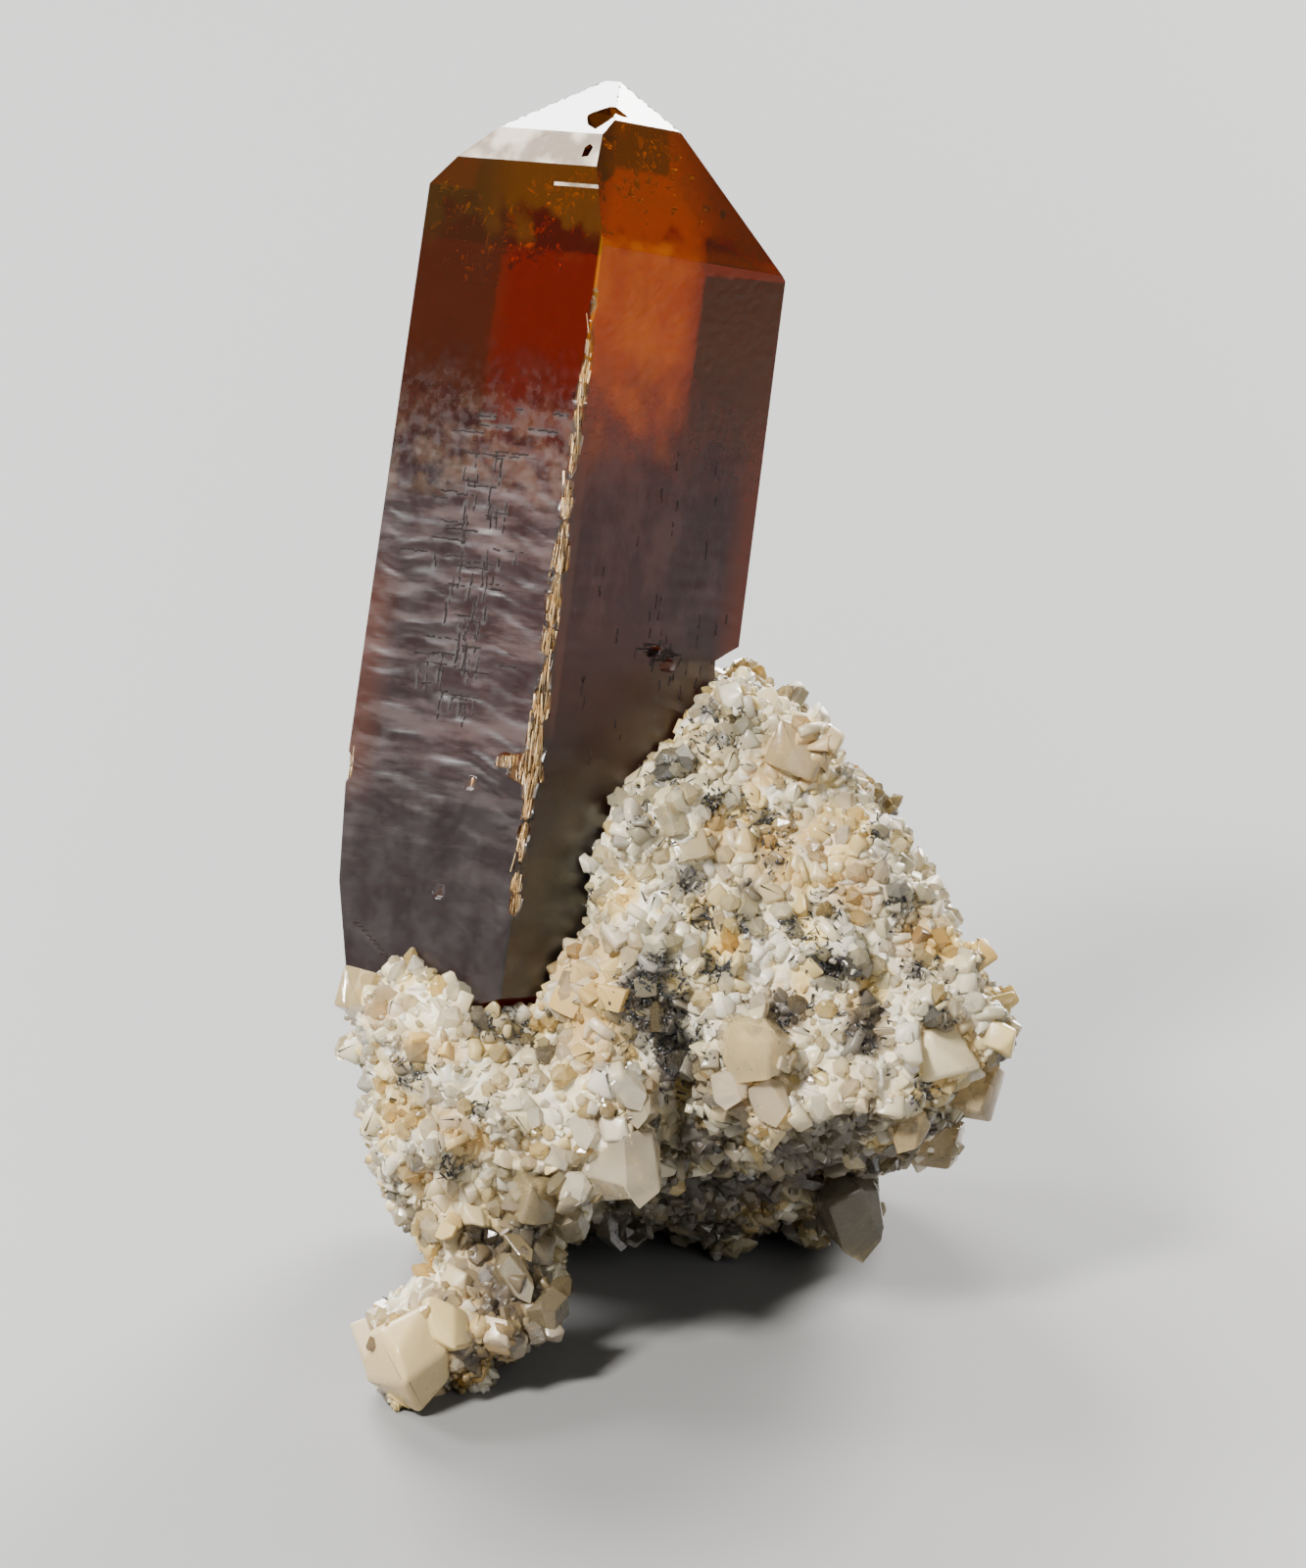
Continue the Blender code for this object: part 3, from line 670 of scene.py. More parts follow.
# %% [markdown]
# ## Splinters and flecks
# Where the front edge is chipped, thin golden splinters stand along the crystal, and
# under the top faces small healed fractures catch the light as golden flecks. One
# splinter and one flake are modelled, and each is copied with its own size and turn:
# the splinters where rays from outside meet a chip, the flecks in small clouds a little
# under the surface. The copies of each are joined in one mesh.


# %% Join many small copies of a few shapes
def shape_of(thing):
    """The points and faces of a small model, which is then removed."""
    points = points_of(thing.data)
    faces = [tuple(face.vertices) for face in thing.data.polygons]
    bpy.data.objects.remove(thing, do_unlink=True)
    return points, faces


def many(name, shapes, picks, places, turns, sizes):
    """One mesh of copies. picks says which shape each copy is."""
    points, corners, lengths, owners = [], [], [], []
    count = 0
    for number, (base, faces) in enumerate(shapes):
        mine = np.flatnonzero(np.asarray(picks) == number)
        if len(mine) == 0:
            continue
        scaled = base[None, :, :] * np.asarray(sizes)[mine][:, None, :]
        moved = np.einsum("nvj,nij->nvi", scaled, turns[mine])
        points.append((moved + places[mine][:, None, :]).reshape(-1, 3))
        flat = np.concatenate([np.array(face) for face in faces])
        starts = count + np.arange(len(mine)) * len(base)
        corners.append((starts[:, None] + flat[None, :]).ravel())
        lengths.append(np.tile([len(face) for face in faces], len(mine)))
        owners.append(np.repeat(mine, len(base)))
        count += len(mine) * len(base)
    points, corners = np.concatenate(points), np.concatenate(corners)
    lengths = np.concatenate(lengths)
    mesh = bpy.data.meshes.new(name)
    mesh.vertices.add(len(points))
    mesh.vertices.foreach_set("co", points.ravel())
    mesh.loops.add(len(corners))
    mesh.loops.foreach_set("vertex_index", corners.astype(np.int32))
    mesh.polygons.add(len(lengths))
    loop_starts = np.concatenate(([0], np.cumsum(lengths)[:-1])).astype(np.int32)
    mesh.polygons.foreach_set("loop_start", loop_starts)
    mesh.update(calc_edges=True)
    mesh.validate()
    thing = bpy.data.objects.new(name, mesh)
    bpy.context.scene.collection.objects.link(thing)
    return thing, np.concatenate(owners)


def turns_along(normals, spread, rng):
    """A turn for each copy: its Z near the normal, and any spin round it."""
    z_axis = normals + rng.normal(0, spread, normals.shape)
    z_axis /= np.linalg.norm(z_axis, axis=1)[:, None]
    x_axis = np.cross(z_axis, rng.normal(0, 1, normals.shape))
    x_axis /= np.linalg.norm(x_axis, axis=1)[:, None]
    return np.stack((x_axis, np.cross(z_axis, x_axis), z_axis), axis=2)


def start_edit(thing):
    bpy.ops.object.mode_set(mode="EDIT")
    bpy.ops.mesh.select_all(action="SELECT")


def smooth(thing, degrees):
    """Shades a piece smooth up to an angle between faces."""
    bpy.ops.object.select_all(action="DESELECT")
    thing.select_set(True)
    bpy.context.view_layer.objects.active = thing
    bpy.ops.object.shade_smooth_by_angle(angle=math.radians(degrees))


smooth(crystal, 24)


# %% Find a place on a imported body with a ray
def tree_of(node):
    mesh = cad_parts[node].data
    mesh.calc_loop_triangles()
    return BVHTree.FromPolygons([vert.co for vert in mesh.vertices],
                                [tuple(tri.vertices) for tri in mesh.loop_triangles])


crystal_tree = tree_of("xenotime_crystal")
matrix_tree = tree_of("feldspar_matrix")


def own_to_room(place):
    return crystal_origin + crystal_turn @ Vector(place) * MM


def hit_from(place, way):
    """Where a ray in the crystal's own axes meets the crystal, or None."""
    return crystal_tree.ray_cast(own_to_room(place), crystal_turn @ Vector(way))[0]


def surface_under(tree, across, up):
    """The place and normal on a body at a point of the view."""
    eye = camera.location
    through = view_centre + view_turn @ Vector((across, 0, up)) * MM
    hit, normal = tree.ray_cast(eye, (through - eye).normalized())[:2]
    if hit is None:
        hit, normal = tree.find_nearest(through)[:2]
    return hit, normal


# %% Splinters on the chipped parts
SPLINTER_TRIES = 1000
# Lowest and highest place along the crystal, across, and the way to look from
CHIPPED_PARTS = (
    # the front edge
    ((5.3, 6.6), (-6.7, -5.4), (-10.6, 11.0), (-1, 1, 0), 1.0),
    # the ledge and the pits on the left face
    ((2.0, 6.2), (-9.0, -9.0), (-10.2, -8.4), (0, 1, 0), 0.25),
    # the broken left edge low down
    ((-6.6, -5.4), (-6.9, -5.6), (-16.0, -9.8), (1, 1, 0), 0.25),
    # the front edge below the ledge
    ((5.5, 6.4), (-6.7, -5.8), (-19.0, -10.6), (-1, 1, 0), 0.3),
)

rng = np.random.default_rng(21)
splinter_places, splinter_lengths = [], []
for x_span, y_span, z_span, way, share in CHIPPED_PARTS:
    for _ in range(int(SPLINTER_TRIES * share)):
        start = Vector([rng.uniform(*span) for span in (x_span, y_span, z_span)])
        length = rng.uniform(0.5, 3.2) * (0.35 if start.y < -8 else 1.0)
        hit = hit_from(start - Vector(way) * 3, Vector(way).normalized())
        if hit is None:
            continue
        depth = depth_inside(crystal_place(np.array(hit)[None, :]))[0]
        if depth > 0.10:
            splinter_places.append(np.array(hit))
            splinter_lengths.append(length)

bpy.ops.object.select_all(action="DESELECT")
bpy.ops.mesh.primitive_cube_add(size=1.0)
splinter_model = bpy.context.object
start_edit(splinter_model)
for spot, way in (((0, 0, 0.2), (0.9, 0.2, 0.5)), ((0, 0, -0.25), (-0.8, 0.3, -0.45))):
    bpy.ops.mesh.select_all(action="SELECT")
    bpy.ops.mesh.bisect(plane_co=spot, plane_no=way, use_fill=True, clear_outer=True)
bpy.ops.object.mode_set(mode="OBJECT")
splinter_shape = shape_of(splinter_model)

splinter_places = np.array(splinter_places)
number = len(splinter_places)
along = np.tile(np.array(crystal_turn @ Vector((0, 0, 1))), (number, 1))
widths = rng.uniform(0.03, 0.13, (number, 2))
splinter_sizes = np.column_stack((widths, splinter_lengths)) * MM
splinters, owners = many("golden_splinters", [splinter_shape], [0] * number,
                         splinter_places, turns_along(along, 0.06, rng), splinter_sizes)
store(splinters.data, "tint", rng.random(number)[owners])
gold = Finish("golden_splinter")
gold_height, gold_mottle = gold.unevenness(gold.object_place(), 5000.0)
gold_tint = gold.mix(gold.attribute("tint"), (0.08, 0.03, 0.012), (0.95, 0.68, 0.34))
gold.join(gold.mix(gold.span(gold_mottle, 0.4, 0.7), gold_tint, (0.70, 0.40, 0.13)),
          gold.shader.inputs["Base Color"])
gold.plain(Roughness=0.22, IOR=1.75, Transmission_Weight=0.3)
gold.bump(gold_height, 0.4, 0.00003)
finish_piece(splinters, gold.material)

# %% Black slits in the grooves
# Each slit is a row of short bars, so that it follows the ripples of the face
SLIT_STEP = 0.22
SLIT_WIDE = 0.085

surface_tree = BVHTree.FromPolygons(
    [vert.co for vert in crystal.data.vertices],
    [tuple(face.vertices) for face in crystal.data.polygons])
bpy.ops.object.select_all(action="DESELECT")
bpy.ops.mesh.primitive_cube_add(size=1.0)
bar = bpy.context.object
start_edit(bar)
bpy.ops.mesh.bevel(offset=0.2, segments=1, affect="EDGES")
bpy.ops.object.mode_set(mode="OBJECT")
bar_shape = shape_of(bar)

bar_places, bar_sizes = [], []
for side, middle, middle_z, half_across, half_z in slits:
    upright = half_z > half_across
    half = half_z if upright else half_across
    face_way = crystal_turn @ Vector((0, 1, 0) if side == "left" else (-1, 0, 0))
    for step in np.arange(-half, half, SLIT_STEP):
        if rng.random() < 0.16:
            continue
        shift = rng.normal(0, 0.02)
        across, up = ((middle + shift, middle_z + step) if upright
                      else (middle + step, middle_z + shift))
        place = (across, -9.0, up) if side == "left" else (9.0, across, up)
        hit = surface_tree.ray_cast(own_to_room(place), face_way)[0]
        if hit is None:
            continue
        bar_places.append(np.array(hit))
        wide = SLIT_WIDE * rng.uniform(0.5, 1.25)
        size = (wide, SLIT_STEP * 1.15) if upright else (SLIT_STEP * 1.15, wide)
        bar_sizes.append((size[0], 0.05, size[1]) if side == "left"
                         else (0.05, size[0], size[1]))
number = len(bar_places)
bars, _ = many("etched_slits", [bar_shape], [0] * number, np.array(bar_places),
               np.tile(turn, (number, 1, 1)), np.array(bar_sizes) * MM)
slit = Finish("etched_slit")
slit_height, slit_mottle = slit.unevenness(slit.object_place(), 5000.0)
slit.join(slit.mix(slit_mottle, (0.004, 0.003, 0.003), (0.030, 0.018, 0.016)),
          slit.shader.inputs["Base Color"])
slit.plain(Roughness=0.8, IOR=1.3)
slit.bump(slit_height, 0.5, 0.00002)
finish_piece(bars, slit.material)

# %% Flecks inside the top
# Across, up, spread, how far in, how many
FLECK_CLOUDS = (
    (-3.5, 27.3, 0.9, 1.3, 46), (-0.1, 29.4, 0.8, 1.4, 60), (-5.8, 25.2, 1.3, 1.6, 60),
    (-8.5, 26.6, 0.7, 1.2, 30), (-0.9, 27.9, 0.7, 1.0, 34), (-7.6, 24.0, 0.9, 1.6, 26),
    (-4.6, 26.0, 1.6, 2.4, 40), (-9.2, 27.6, 0.3, 0.9, 12), (1.0, 27.0, 1.2, 2.4, 16),
)

bpy.ops.object.select_all(action="DESELECT")
bpy.ops.mesh.primitive_cylinder_add(vertices=6, radius=0.5, depth=0.08)
flake = bpy.context.object
start_edit(flake)
bpy.ops.mesh.bisect(plane_co=(0.28, 0, 0), plane_no=(1, 0.5, 0), use_fill=True,
                    clear_outer=True)
bpy.ops.object.mode_set(mode="OBJECT")
flake_shape = shape_of(flake)

rng = np.random.default_rng(5)
fleck_places = []
for across, up, spread, inward, count in FLECK_CLOUDS:
    for _ in range(count):
        hit, _ = surface_under(crystal_tree, across + rng.normal(0, spread),
                               up + rng.normal(0, spread * 0.6))
        looking = (hit - camera.location).normalized()
        place = hit + looking * (inward * 0.5 + abs(rng.normal(0, 0.4))) * MM
        if depth_inside(crystal_place(np.array(place)[None, :]))[0] > 0.3:
            fleck_places.append(np.array(place))
fleck_places = np.array(fleck_places)
number = len(fleck_places)
fleck_turns = turns_along(rng.normal(0, 1, (number, 3)), 0.4, rng)
fleck_sizes = rng.uniform(0.4, 1.0, (number, 1)) ** 2 * 0.85 * MM * np.array([[1.0, 0.5, 0.6]])
flecks, _ = many("golden_flecks", [flake_shape], [0] * number, fleck_places,
                 fleck_turns, fleck_sizes)
healed = Finish("healed_fracture")
healed_height, healed_mottle = healed.unevenness(healed.object_place(), 2500.0)
healed.join(healed.mix(healed_mottle, (1.0, 0.66, 0.16), (1.0, 0.88, 0.45)),
            healed.shader.inputs["Base Color"])
healed.plain(Roughness=0.34, Metallic=0.9)
healed.bump(healed_height, 0.4, 0.00003)
finish_piece(flecks, healed.material)

# %% [markdown]
# ## Where the matrix is dark, tan or set with larger crystals
# Most of the matrix is cream to white. Black needles grow in clumps in its hollows,
# some grains are stained tan, and larger half-clear crystals stand along the rims.
# Under the overhang, on the shaded side of the foot and in the valley, the colour is
# painted darker as shade.
# Each of these is named here by its place in the view, across and up in millimetres
# from the middle of the picture, and a ray from the eye finds the place on the packed
# body. Smooth noise adds fainter spots on the sides that the view doesn't show.

# %% Named places
NEEDLE_CLUMPS = (
    # across, up, reach
    (1.7, 4.2, 0.5), (2.6, 3.7, 0.6), (3.2, 2.3, 0.6), (-0.6, -1.6, 0.6),
    (1.4, 1.4, 0.7), (0.4, 0.2, 0.6), (-3.3, -4.9, 0.5), (1.7, -4.6, 0.6),
    (2.9, -1.0, 0.4), (5.0, -1.7, 0.5), (5.7, -3.5, 0.4), (8.5, -8.4, 0.8),
    (12.3, -8.7, 0.5), (10.6, -2.1, 0.5), (8.0, -5.9, 0.5), (-0.8, -10.5, 1.0),
    (0.3, -8.4, 0.8), (2.6, -8.4, 0.4), (3.5, -8.6, 0.3), (0.1, -9.5, 0.9),
    (0.9, -11.5, 0.9), (1.2, -13.0, 0.7), (0.5, -10.4, 1.1), (-0.1, -8.9, 0.8),
    (1.0, -12.3, 0.9), (-7.6, -10.9, 0.6), (-6.2, -11.8, 0.6),
    (-11.4, -13.6, 0.5), (9.9, -11.4, 0.9), (12.5, -14.2, 0.4), (6.1, -10.5, 0.6),
    (7.6, -8.0, 0.5), (11.5, -5.6, 0.4), (-9.2, -18.0, 0.4), (-8.0, -15.2, 0.3),
    (13.2, -10.6, 0.4), (4.3, -6.6, 0.4), (6.4, -6.6, 0.3), (2.2, -6.2, 0.4),
)
TAN_SPOTS = (
    (-3.4, -8.8, 2.0), (-11.0, -12.0, 0.7), (-9.5, -12.4, 0.6), (-9.6, -15.8, 0.7),
    (-2.1, -10.9, 1.2), (6.9, 1.5, 1.4), (5.0, 0.5, 0.8), (3.1, -2.3, 0.9),
    (5.2, -3.2, 1.5), (6.1, -10.5, 1.0), (-10.7, -18.2, 0.7), (12.5, -7.1, 1.0),
    (9.4, -5.0, 1.2), (-8.4, -16.8, 1.0), (-3.0, -12.2, 1.1), (-10.7, -26.2, 2.6),
    (-7.0, -23.6, 2.6), (9.9, -11.0, 1.1), (7.6, -2.2, 1.0), (10.2, 0.2, 0.8),
    (-12.6, -10.4, 0.9), (-5.0, -19.6, 1.2), (4.4, -14.2, 1.8), (13.6, -12.2, 1.4),
)
# Places painted darker as shade: under the overhang, on the shaded side of the foot, and in the
# valley and hollows
PAINTED_SHADE_SPOTS = (
    (1.0, -18.5, 2.4), (4.5, -18.6, 2.4), (7.4, -18.0, 2.0), (2.5, -20.4, 2.0),
    (6.0, -20.6, 2.0), (-1.0, -20.6, 1.2), (9.0, -19.5, 1.8), (12.5, -16.4, 1.3),
    (-6.0, -21.6, 1.3), (-4.9, -23.6, 1.8), (-7.2, -24.2, 0.8), (-8.3, -26.6, 0.8),
    (6.2, -10.7, 0.7), (9.9, -11.6, 0.8), (10.3, -10.4, 0.6), (-0.6, -9.5, 0.9),
    (0.4, -11.5, 1.0), (1.0, -13.2, 1.0), (2.4, -16.9, 1.7), (10.4, -17.2, 1.4),
    (-7.9, -21.4, 0.9), (-7.2, -22.9, 1.3), (5.8, -17.2, 1.6), (8.4, -16.9, 1.3),
    (8.2, -8.5, 0.6), (12.4, -8.8, 0.4), (2.0, 3.9, 0.5), (4.3, -4.9, 0.4),
)
FROST_SPOTS = (
    (-4.0, -13.4, 1.6), (3.0, -10.0, 1.5), (11.0, -12.7, 1.6), (4.2, 4.6, 1.2),
    (6.6, 3.4, 1.2), (13.0, -9.4, 1.1), (8.6, -13.2, 1.3), (-6.6, -13.6, 1.0),
)
LARGE_CRYSTALS = (
    # across, up, width, height, tint, tan, shape: 0 block, 1 rounded, 2 pointed
    (-1.53, -17.57, 3.6, 3.9, 0.62, 0.2, 2), (-5.39, -19.2, 2.0, 2.2, 0.72, 0.25, 0),
    (-3.61, -18.8, 1.8, 1.9, 0.6, 0.2, 2), (-6.7, -20.0, 1.0, 1.4, 0.7, 0.3, 0),
    (-8.4, -20.1, 1.15, 1.3, 0.7, 0.2, 1), (-3.02, -16.1, 1.7, 2.0, 0.55, 0.1, 2),
    (-1.66, -16.1, 1.4, 1.5, 0.5, 0.2, 1), (-0.61, -14.95, 1.7, 1.9, 0.66, 0.2, 2),
    (-1.39, -14.1, 2.0, 2.1, 0.62, 0.15, 2), (-4.39, -17.45, 1.1, 1.2, 0.6, 0.1, 0),
    (-3.93, -20.3, 1.9, 1.6, 0.1, 0.3, 2), (-1.66, -20.45, 2.2, 2.4, 0.1, 0.2, 2),
    (-13.6, -14.9, 0.9, 1.2, 0.5, 0.1, 0), (-13.7, -9.6, 1.4, 2.2, 0.7, 0.3, 0),
    (-9.1, -23.2, 1.4, 1.5, 0.7, 0.3, 1), (-6.6, -22.9, 1.8, 2.6, 0.4, 0.4, 2),
    (-6.5, -21.6, 1.4, 2.2, 0.4, 0.4, 2), (-7.2, -25.5, 1.2, 1.4, 0.6, 0.6, 1),
    (-4.9, -24.5, 1.8, 2.0, 0.2, 0.5, 2), (-5.2, -21.6, 1.3, 1.5, 0.2, 0.4, 0),
    (-11.4, -26.3, 3.4, 3.6, 0.72, 0.45, 1), (-9.9, -25.1, 1.9, 2.6, 0.75, 0.35, 1),
    (-10.5, -28.1, 1.6, 1.7, 0.7, 0.35, 1), (-13.1, -26.1, 1.0, 2.6, 0.6, 0.7, 1),
    (3.65, -14.1, 2.3, 1.9, 0.55, 0.4, 2), (5.16, -14.6, 2.5, 2.4, 0.5, 0.4, 2),
    (1.66, -13.2, 0.9, 1.0, 0.6, 0.2, 0), (4.7, -12.0, 4.2, 3.0, 0.72, 0.2, 2),
    (7.57, -15.1, 0.8, 0.9, 0.6, 0.3, 1), (8.3, -15.0, 0.8, 0.9, 0.6, 0.4, 1),
    (9.6, -14.8, 0.8, 0.9, 0.6, 0.4, 1), (13.0, -12.5, 3.2, 3.2, 0.7, 0.0, 1),
    (14.9, -14.1, 1.9, 2.8, 0.3, 0.7, 0), (16.1, -11.8, 1.6, 1.6, 0.8, 0.0, 1),
    (11.9, -16.0, 2.0, 2.4, 0.2, 0.6, 2), (13.0, -16.6, 2.4, 2.2, 0.2, 0.6, 0),
    (9.0, -19.5, 3.6, 4.1, 0.15, 0.2, 2), (6.87, 1.5, 2.4, 2.4, 0.7, 0.6, 0),
    (0.15, 0.8, 0.9, 0.45, 0.8, 0.0, 0), (0.96, -1.64, 1.5, 1.6, 0.25, 0.0, 0),
    (1.83, -2.9, 1.6, 1.6, 0.4, 0.1, 0), (0.84, -4.3, 1.1, 1.3, 0.5, 0.0, 2),
    (-1.0, -8.0, 1.15, 1.2, 0.4, 0.2, 2), (-0.25, -9.3, 1.0, 1.0, 0.3, 0.1, 0),
    (7.57, -4.2, 1.0, 1.1, 0.7, 0.3, 1), (6.6, -3.7, 0.8, 0.9, 0.7, 0.4, 1),
    (2.9, -6.3, 1.0, 1.1, 0.7, 0.2, 2), (-5.6, -15.4, 1.0, 1.1, 0.6, 0.3, 2),
    (-7.0, -17.2, 1.1, 1.1, 0.65, 0.3, 1), (-10.2, -14.3, 1.0, 1.2, 0.6, 0.2, 0),
    (-9.8, -19.2, 1.2, 1.2, 0.6, 0.4, 1), (10.9, -9.3, 0.9, 1.0, 0.6, 0.1, 0),
    (3.3, -3.9, 1.0, 1.1, 0.6, 0.4, 0), (8.8, -0.9, 1.0, 1.0, 0.7, 0.2, 0),
)
TAN_CRYSTALS = (
    # across, up, width
    (-3.2, -8.8, 1.1), (-4.4, -7.5, 1.4), (-3.9, -10.1, 1.4), (-1.9, -9.9, 1.3),
    (-1.9, -8.6, 1.0), (-2.9, -7.7, 0.9), (-5.0, -8.6, 1.0), (-2.9, -9.7, 1.0),
    (-4.6, -9.5, 1.0), (-3.5, -6.8, 0.9), (-10.9, -12.0, 0.9), (-9.5, -12.4, 0.8),
)

# %% Places and rays
view_axes = np.array(view_turn)


def view_hits(rows):
    """Where each row's across and up meet the matrix, seen from the eye."""
    hits = [surface_under(matrix_tree, row[0], row[1]) for row in rows]
    return (np.array([np.array(hit) for hit, _ in hits]),
            np.array([np.array(normal) for _, normal in hits]))


large_hits, large_normals = view_hits(LARGE_CRYSTALS)
print("large crystals placed", len(large_hits))


def spotted(points, spots, seed, patch):
    """From 0 to 1: how strongly each point is in one of the spots or in a patch."""
    centres, _ = view_hits(spots)
    wobble = noise_at(points / MM, (1.3, 1.3, 1.3), seed)
    share = np.zeros(len(points))
    for centre, (_, _, reach) in zip(centres, spots):
        far = np.linalg.norm(points - centre, axis=1) / (reach * MM) + wobble * 0.5
        share = np.maximum(share, np.clip(1.8 - far * 1.1, 0, 1))
    broad = noise_at(points / MM, (0.33, 0.33, 0.33), seed + 20.0)
    hidden = np.clip((seen(points)[:, 2] - 0.0) / 6.0, 0.25, 1.0)
    return np.maximum(share, np.clip((broad - 0.30) * 3.5, 0, 1) * patch * hidden)


def painted_shade_part(points, normals):
    """From 0 to 1: how much painted shade darkens the mineral, most of all under the overhang.
    """
    # Painted shade on faces that look down
    under = np.clip(-normals[:, 2] * 1.6 - 0.35, 0, 0.8)
    return np.maximum(spotted(points, PAINTED_SHADE_SPOTS, 71.0, 0.0), under)


def tint_patches(points):
    """The tint of the matrix at each point: broad patches with smaller ones in them."""
    broad = noise_at(points / MM, (0.34, 0.34, 0.34), 51.0)
    small = noise_at(points / MM, (1.0, 1.0, 1.0), 57.0)
    frosty = spotted(points, FROST_SPOTS, 61.0, 0.0)
    tints = np.clip(0.58 + 0.62 * broad + 0.42 * small, 0, 1)
    return tints * (1 - frosty) + 0.66 * frosty


# %% [markdown]
# ## The finish of the matrix minerals
# Feldspar grains are waxy and a little see-through, quartz is clearer, and both run
# from grey through white to cream and tan. Each grain carries its own tint as an
# attribute, which a colour ramp turns into one of those colours, so one finish serves
# thousands of grains and no two neighbours look the same.


# %% A finish for the matrix minerals
def mineral(name, transmission, roughness, ior, shade=1.0, soft=0.3):
    """Grey, white, cream or yellow mineral by its tint, stained and darkened by spots, some of
    them painted shade.
    """
    made = Finish(name)
    bumps, mottle = made.unevenness(made.object_place(), 2600.0)
    ramp = made.node("ShaderNodeValToRGB")
    stops = ((0.0, (0.32, 0.31, 0.25)), (0.2, (0.52, 0.48, 0.34)), (0.38, (0.80, 0.68, 0.40)),
             (0.58, (0.94, 0.89, 0.76)), (0.76, (0.84, 0.66, 0.28)), (1.0, (0.70, 0.45, 0.12)))
    while len(ramp.color_ramp.elements) < len(stops):
        ramp.color_ramp.elements.new(0.5)
    for element, (place, colour) in zip(ramp.color_ramp.elements, stops):
        element.position = place
        element.color = (*[channel * shade for channel in colour], 1.0)
    made.join(made.attribute("tint"), ramp.inputs["Fac"])
    colour = made.mix(made.span(mottle, 0.35, 0.75, 0.0, 0.35), ramp.outputs["Color"],
                      (0.52, 0.45, 0.33))
    _, cloud = made.unevenness(made.object_place(), 800.0)
    colour = made.mix(made.span(cloud, 0.50, 0.68, 0.0, 0.55), colour,
                      (0.62 * shade, 0.47 * shade, 0.22 * shade))
    colour = made.mix(made.span(cloud, 0.46, 0.30, 0.0, 0.45), colour,
                      (0.42 * shade, 0.39 * shade, 0.33 * shade))
    colour = made.mix(made.maths("MULTIPLY", made.attribute("tan"), 0.85), colour,
                      (0.58 * shade, 0.38 * shade, 0.14 * shade))
    colour = made.mix(made.maths("MULTIPLY", made.attribute("dark"), 0.85), colour,
                      (0.07, 0.070, 0.068))
    # Painted shade: a dark brown where the matrix lies in shade
    colour = made.mix(made.maths("MULTIPLY", made.attribute("painted_shade"), 0.97), colour,
                      (0.060, 0.047, 0.037))
    made.join(colour, made.shader.inputs["Base Color"])
    made.join(made.span(mottle, 0.3, 0.7, roughness - 0.08, roughness + 0.12),
              made.shader.inputs["Roughness"])
    made.bump(bumps, 0.35, 0.00005)
    made.plain(IOR=ior, Transmission_Weight=transmission, Subsurface_Weight=soft,
               Subsurface_Radius=(0.0006, 0.0005, 0.0004), Subsurface_Scale=1.0)
    return made.material


# %% [markdown]
# ## The ground of the matrix
# Between the grains the matrix is a fine sugary mass that lies in shade, and its colours
# are also painted a tenth darker than the grains' as shade. A copy of the imported body
# is remeshed finely, which keeps its lumps, and its skin is lowered under the grains and
# roughened by a grain pattern, so that the grains' tips reach to about where the
# imported body's skin is.

# %% Ground
GROUND_VOXEL = 0.24 * MM
GROUND_SINK = 0.15
DOME_HIGH = 0.42
GRAIN_PATTERN = 0.85 * MM

ground = merged_copy("feldspar_matrix", "matrix_ground")
remesh = ground.modifiers.new("fine_skin", "REMESH")
remesh.mode = "VOXEL"
remesh.voxel_size = GROUND_VOXEL
bpy.ops.object.modifier_apply(modifier="fine_skin")
at = points_of(ground.data)
normals = np.empty(len(at) * 3)
ground.data.vertices.foreach_get("normal", normals)
normals = normals.reshape(-1, 3)
relief = np.empty(len(at))
for number, point in enumerate(at):
    nearest = noise.voronoi(Vector(point / GRAIN_PATTERN))[0][0]
    relief[number] = 1.0 - min(nearest, 0.9) ** 2
clear_of_crystal = np.clip((-depth_inside(crystal_place(at)) - 0.1) / 0.6, 0, 1)
clear_of_floor = np.clip(at[:, 2] / (1.0 * MM), 0, 1)
lift = ((relief - 0.6) * DOME_HIGH - GROUND_SINK) * clear_of_crystal * clear_of_floor * MM
lowered = at + normals * lift[:, None]
lowered[:, 2] = np.maximum(lowered[:, 2], 0.0)
ground.data.vertices.foreach_set("co", lowered.ravel())
ground.data.update()
print("ground", len(ground.data.polygons), "faces")

store(ground.data, "dark", spotted(lowered, NEEDLE_CLUMPS, 3.0, 0.7))
store(ground.data, "tan", spotted(lowered, TAN_SPOTS, 9.0, 0.9))
store(ground.data, "tint", tint_patches(lowered))
store(ground.data, "painted_shade", painted_shade_part(lowered, normals))
# Painted shade: the ground's colours are 0.90 of the grains'
ground_finish = mineral("sugary_ground", 0.0, 0.50, 1.53, 0.90, 0.15)
finish_piece(ground, ground_finish)
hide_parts("feldspar_matrix")

# %% [markdown]
# ## The shapes of the grains
# The crust needs only a few shapes: a feldspar block with a slanted end, a rounded waxy
# lump, a thin plate, and a stubby six-sided quartz with a point. Each is modelled once.
# A bevel all round with one segment, shaded smooth, gives the waxy edges with few
# faces, because each is repeated thousands of times. The larger crystals use the same
# models with finer bevels.


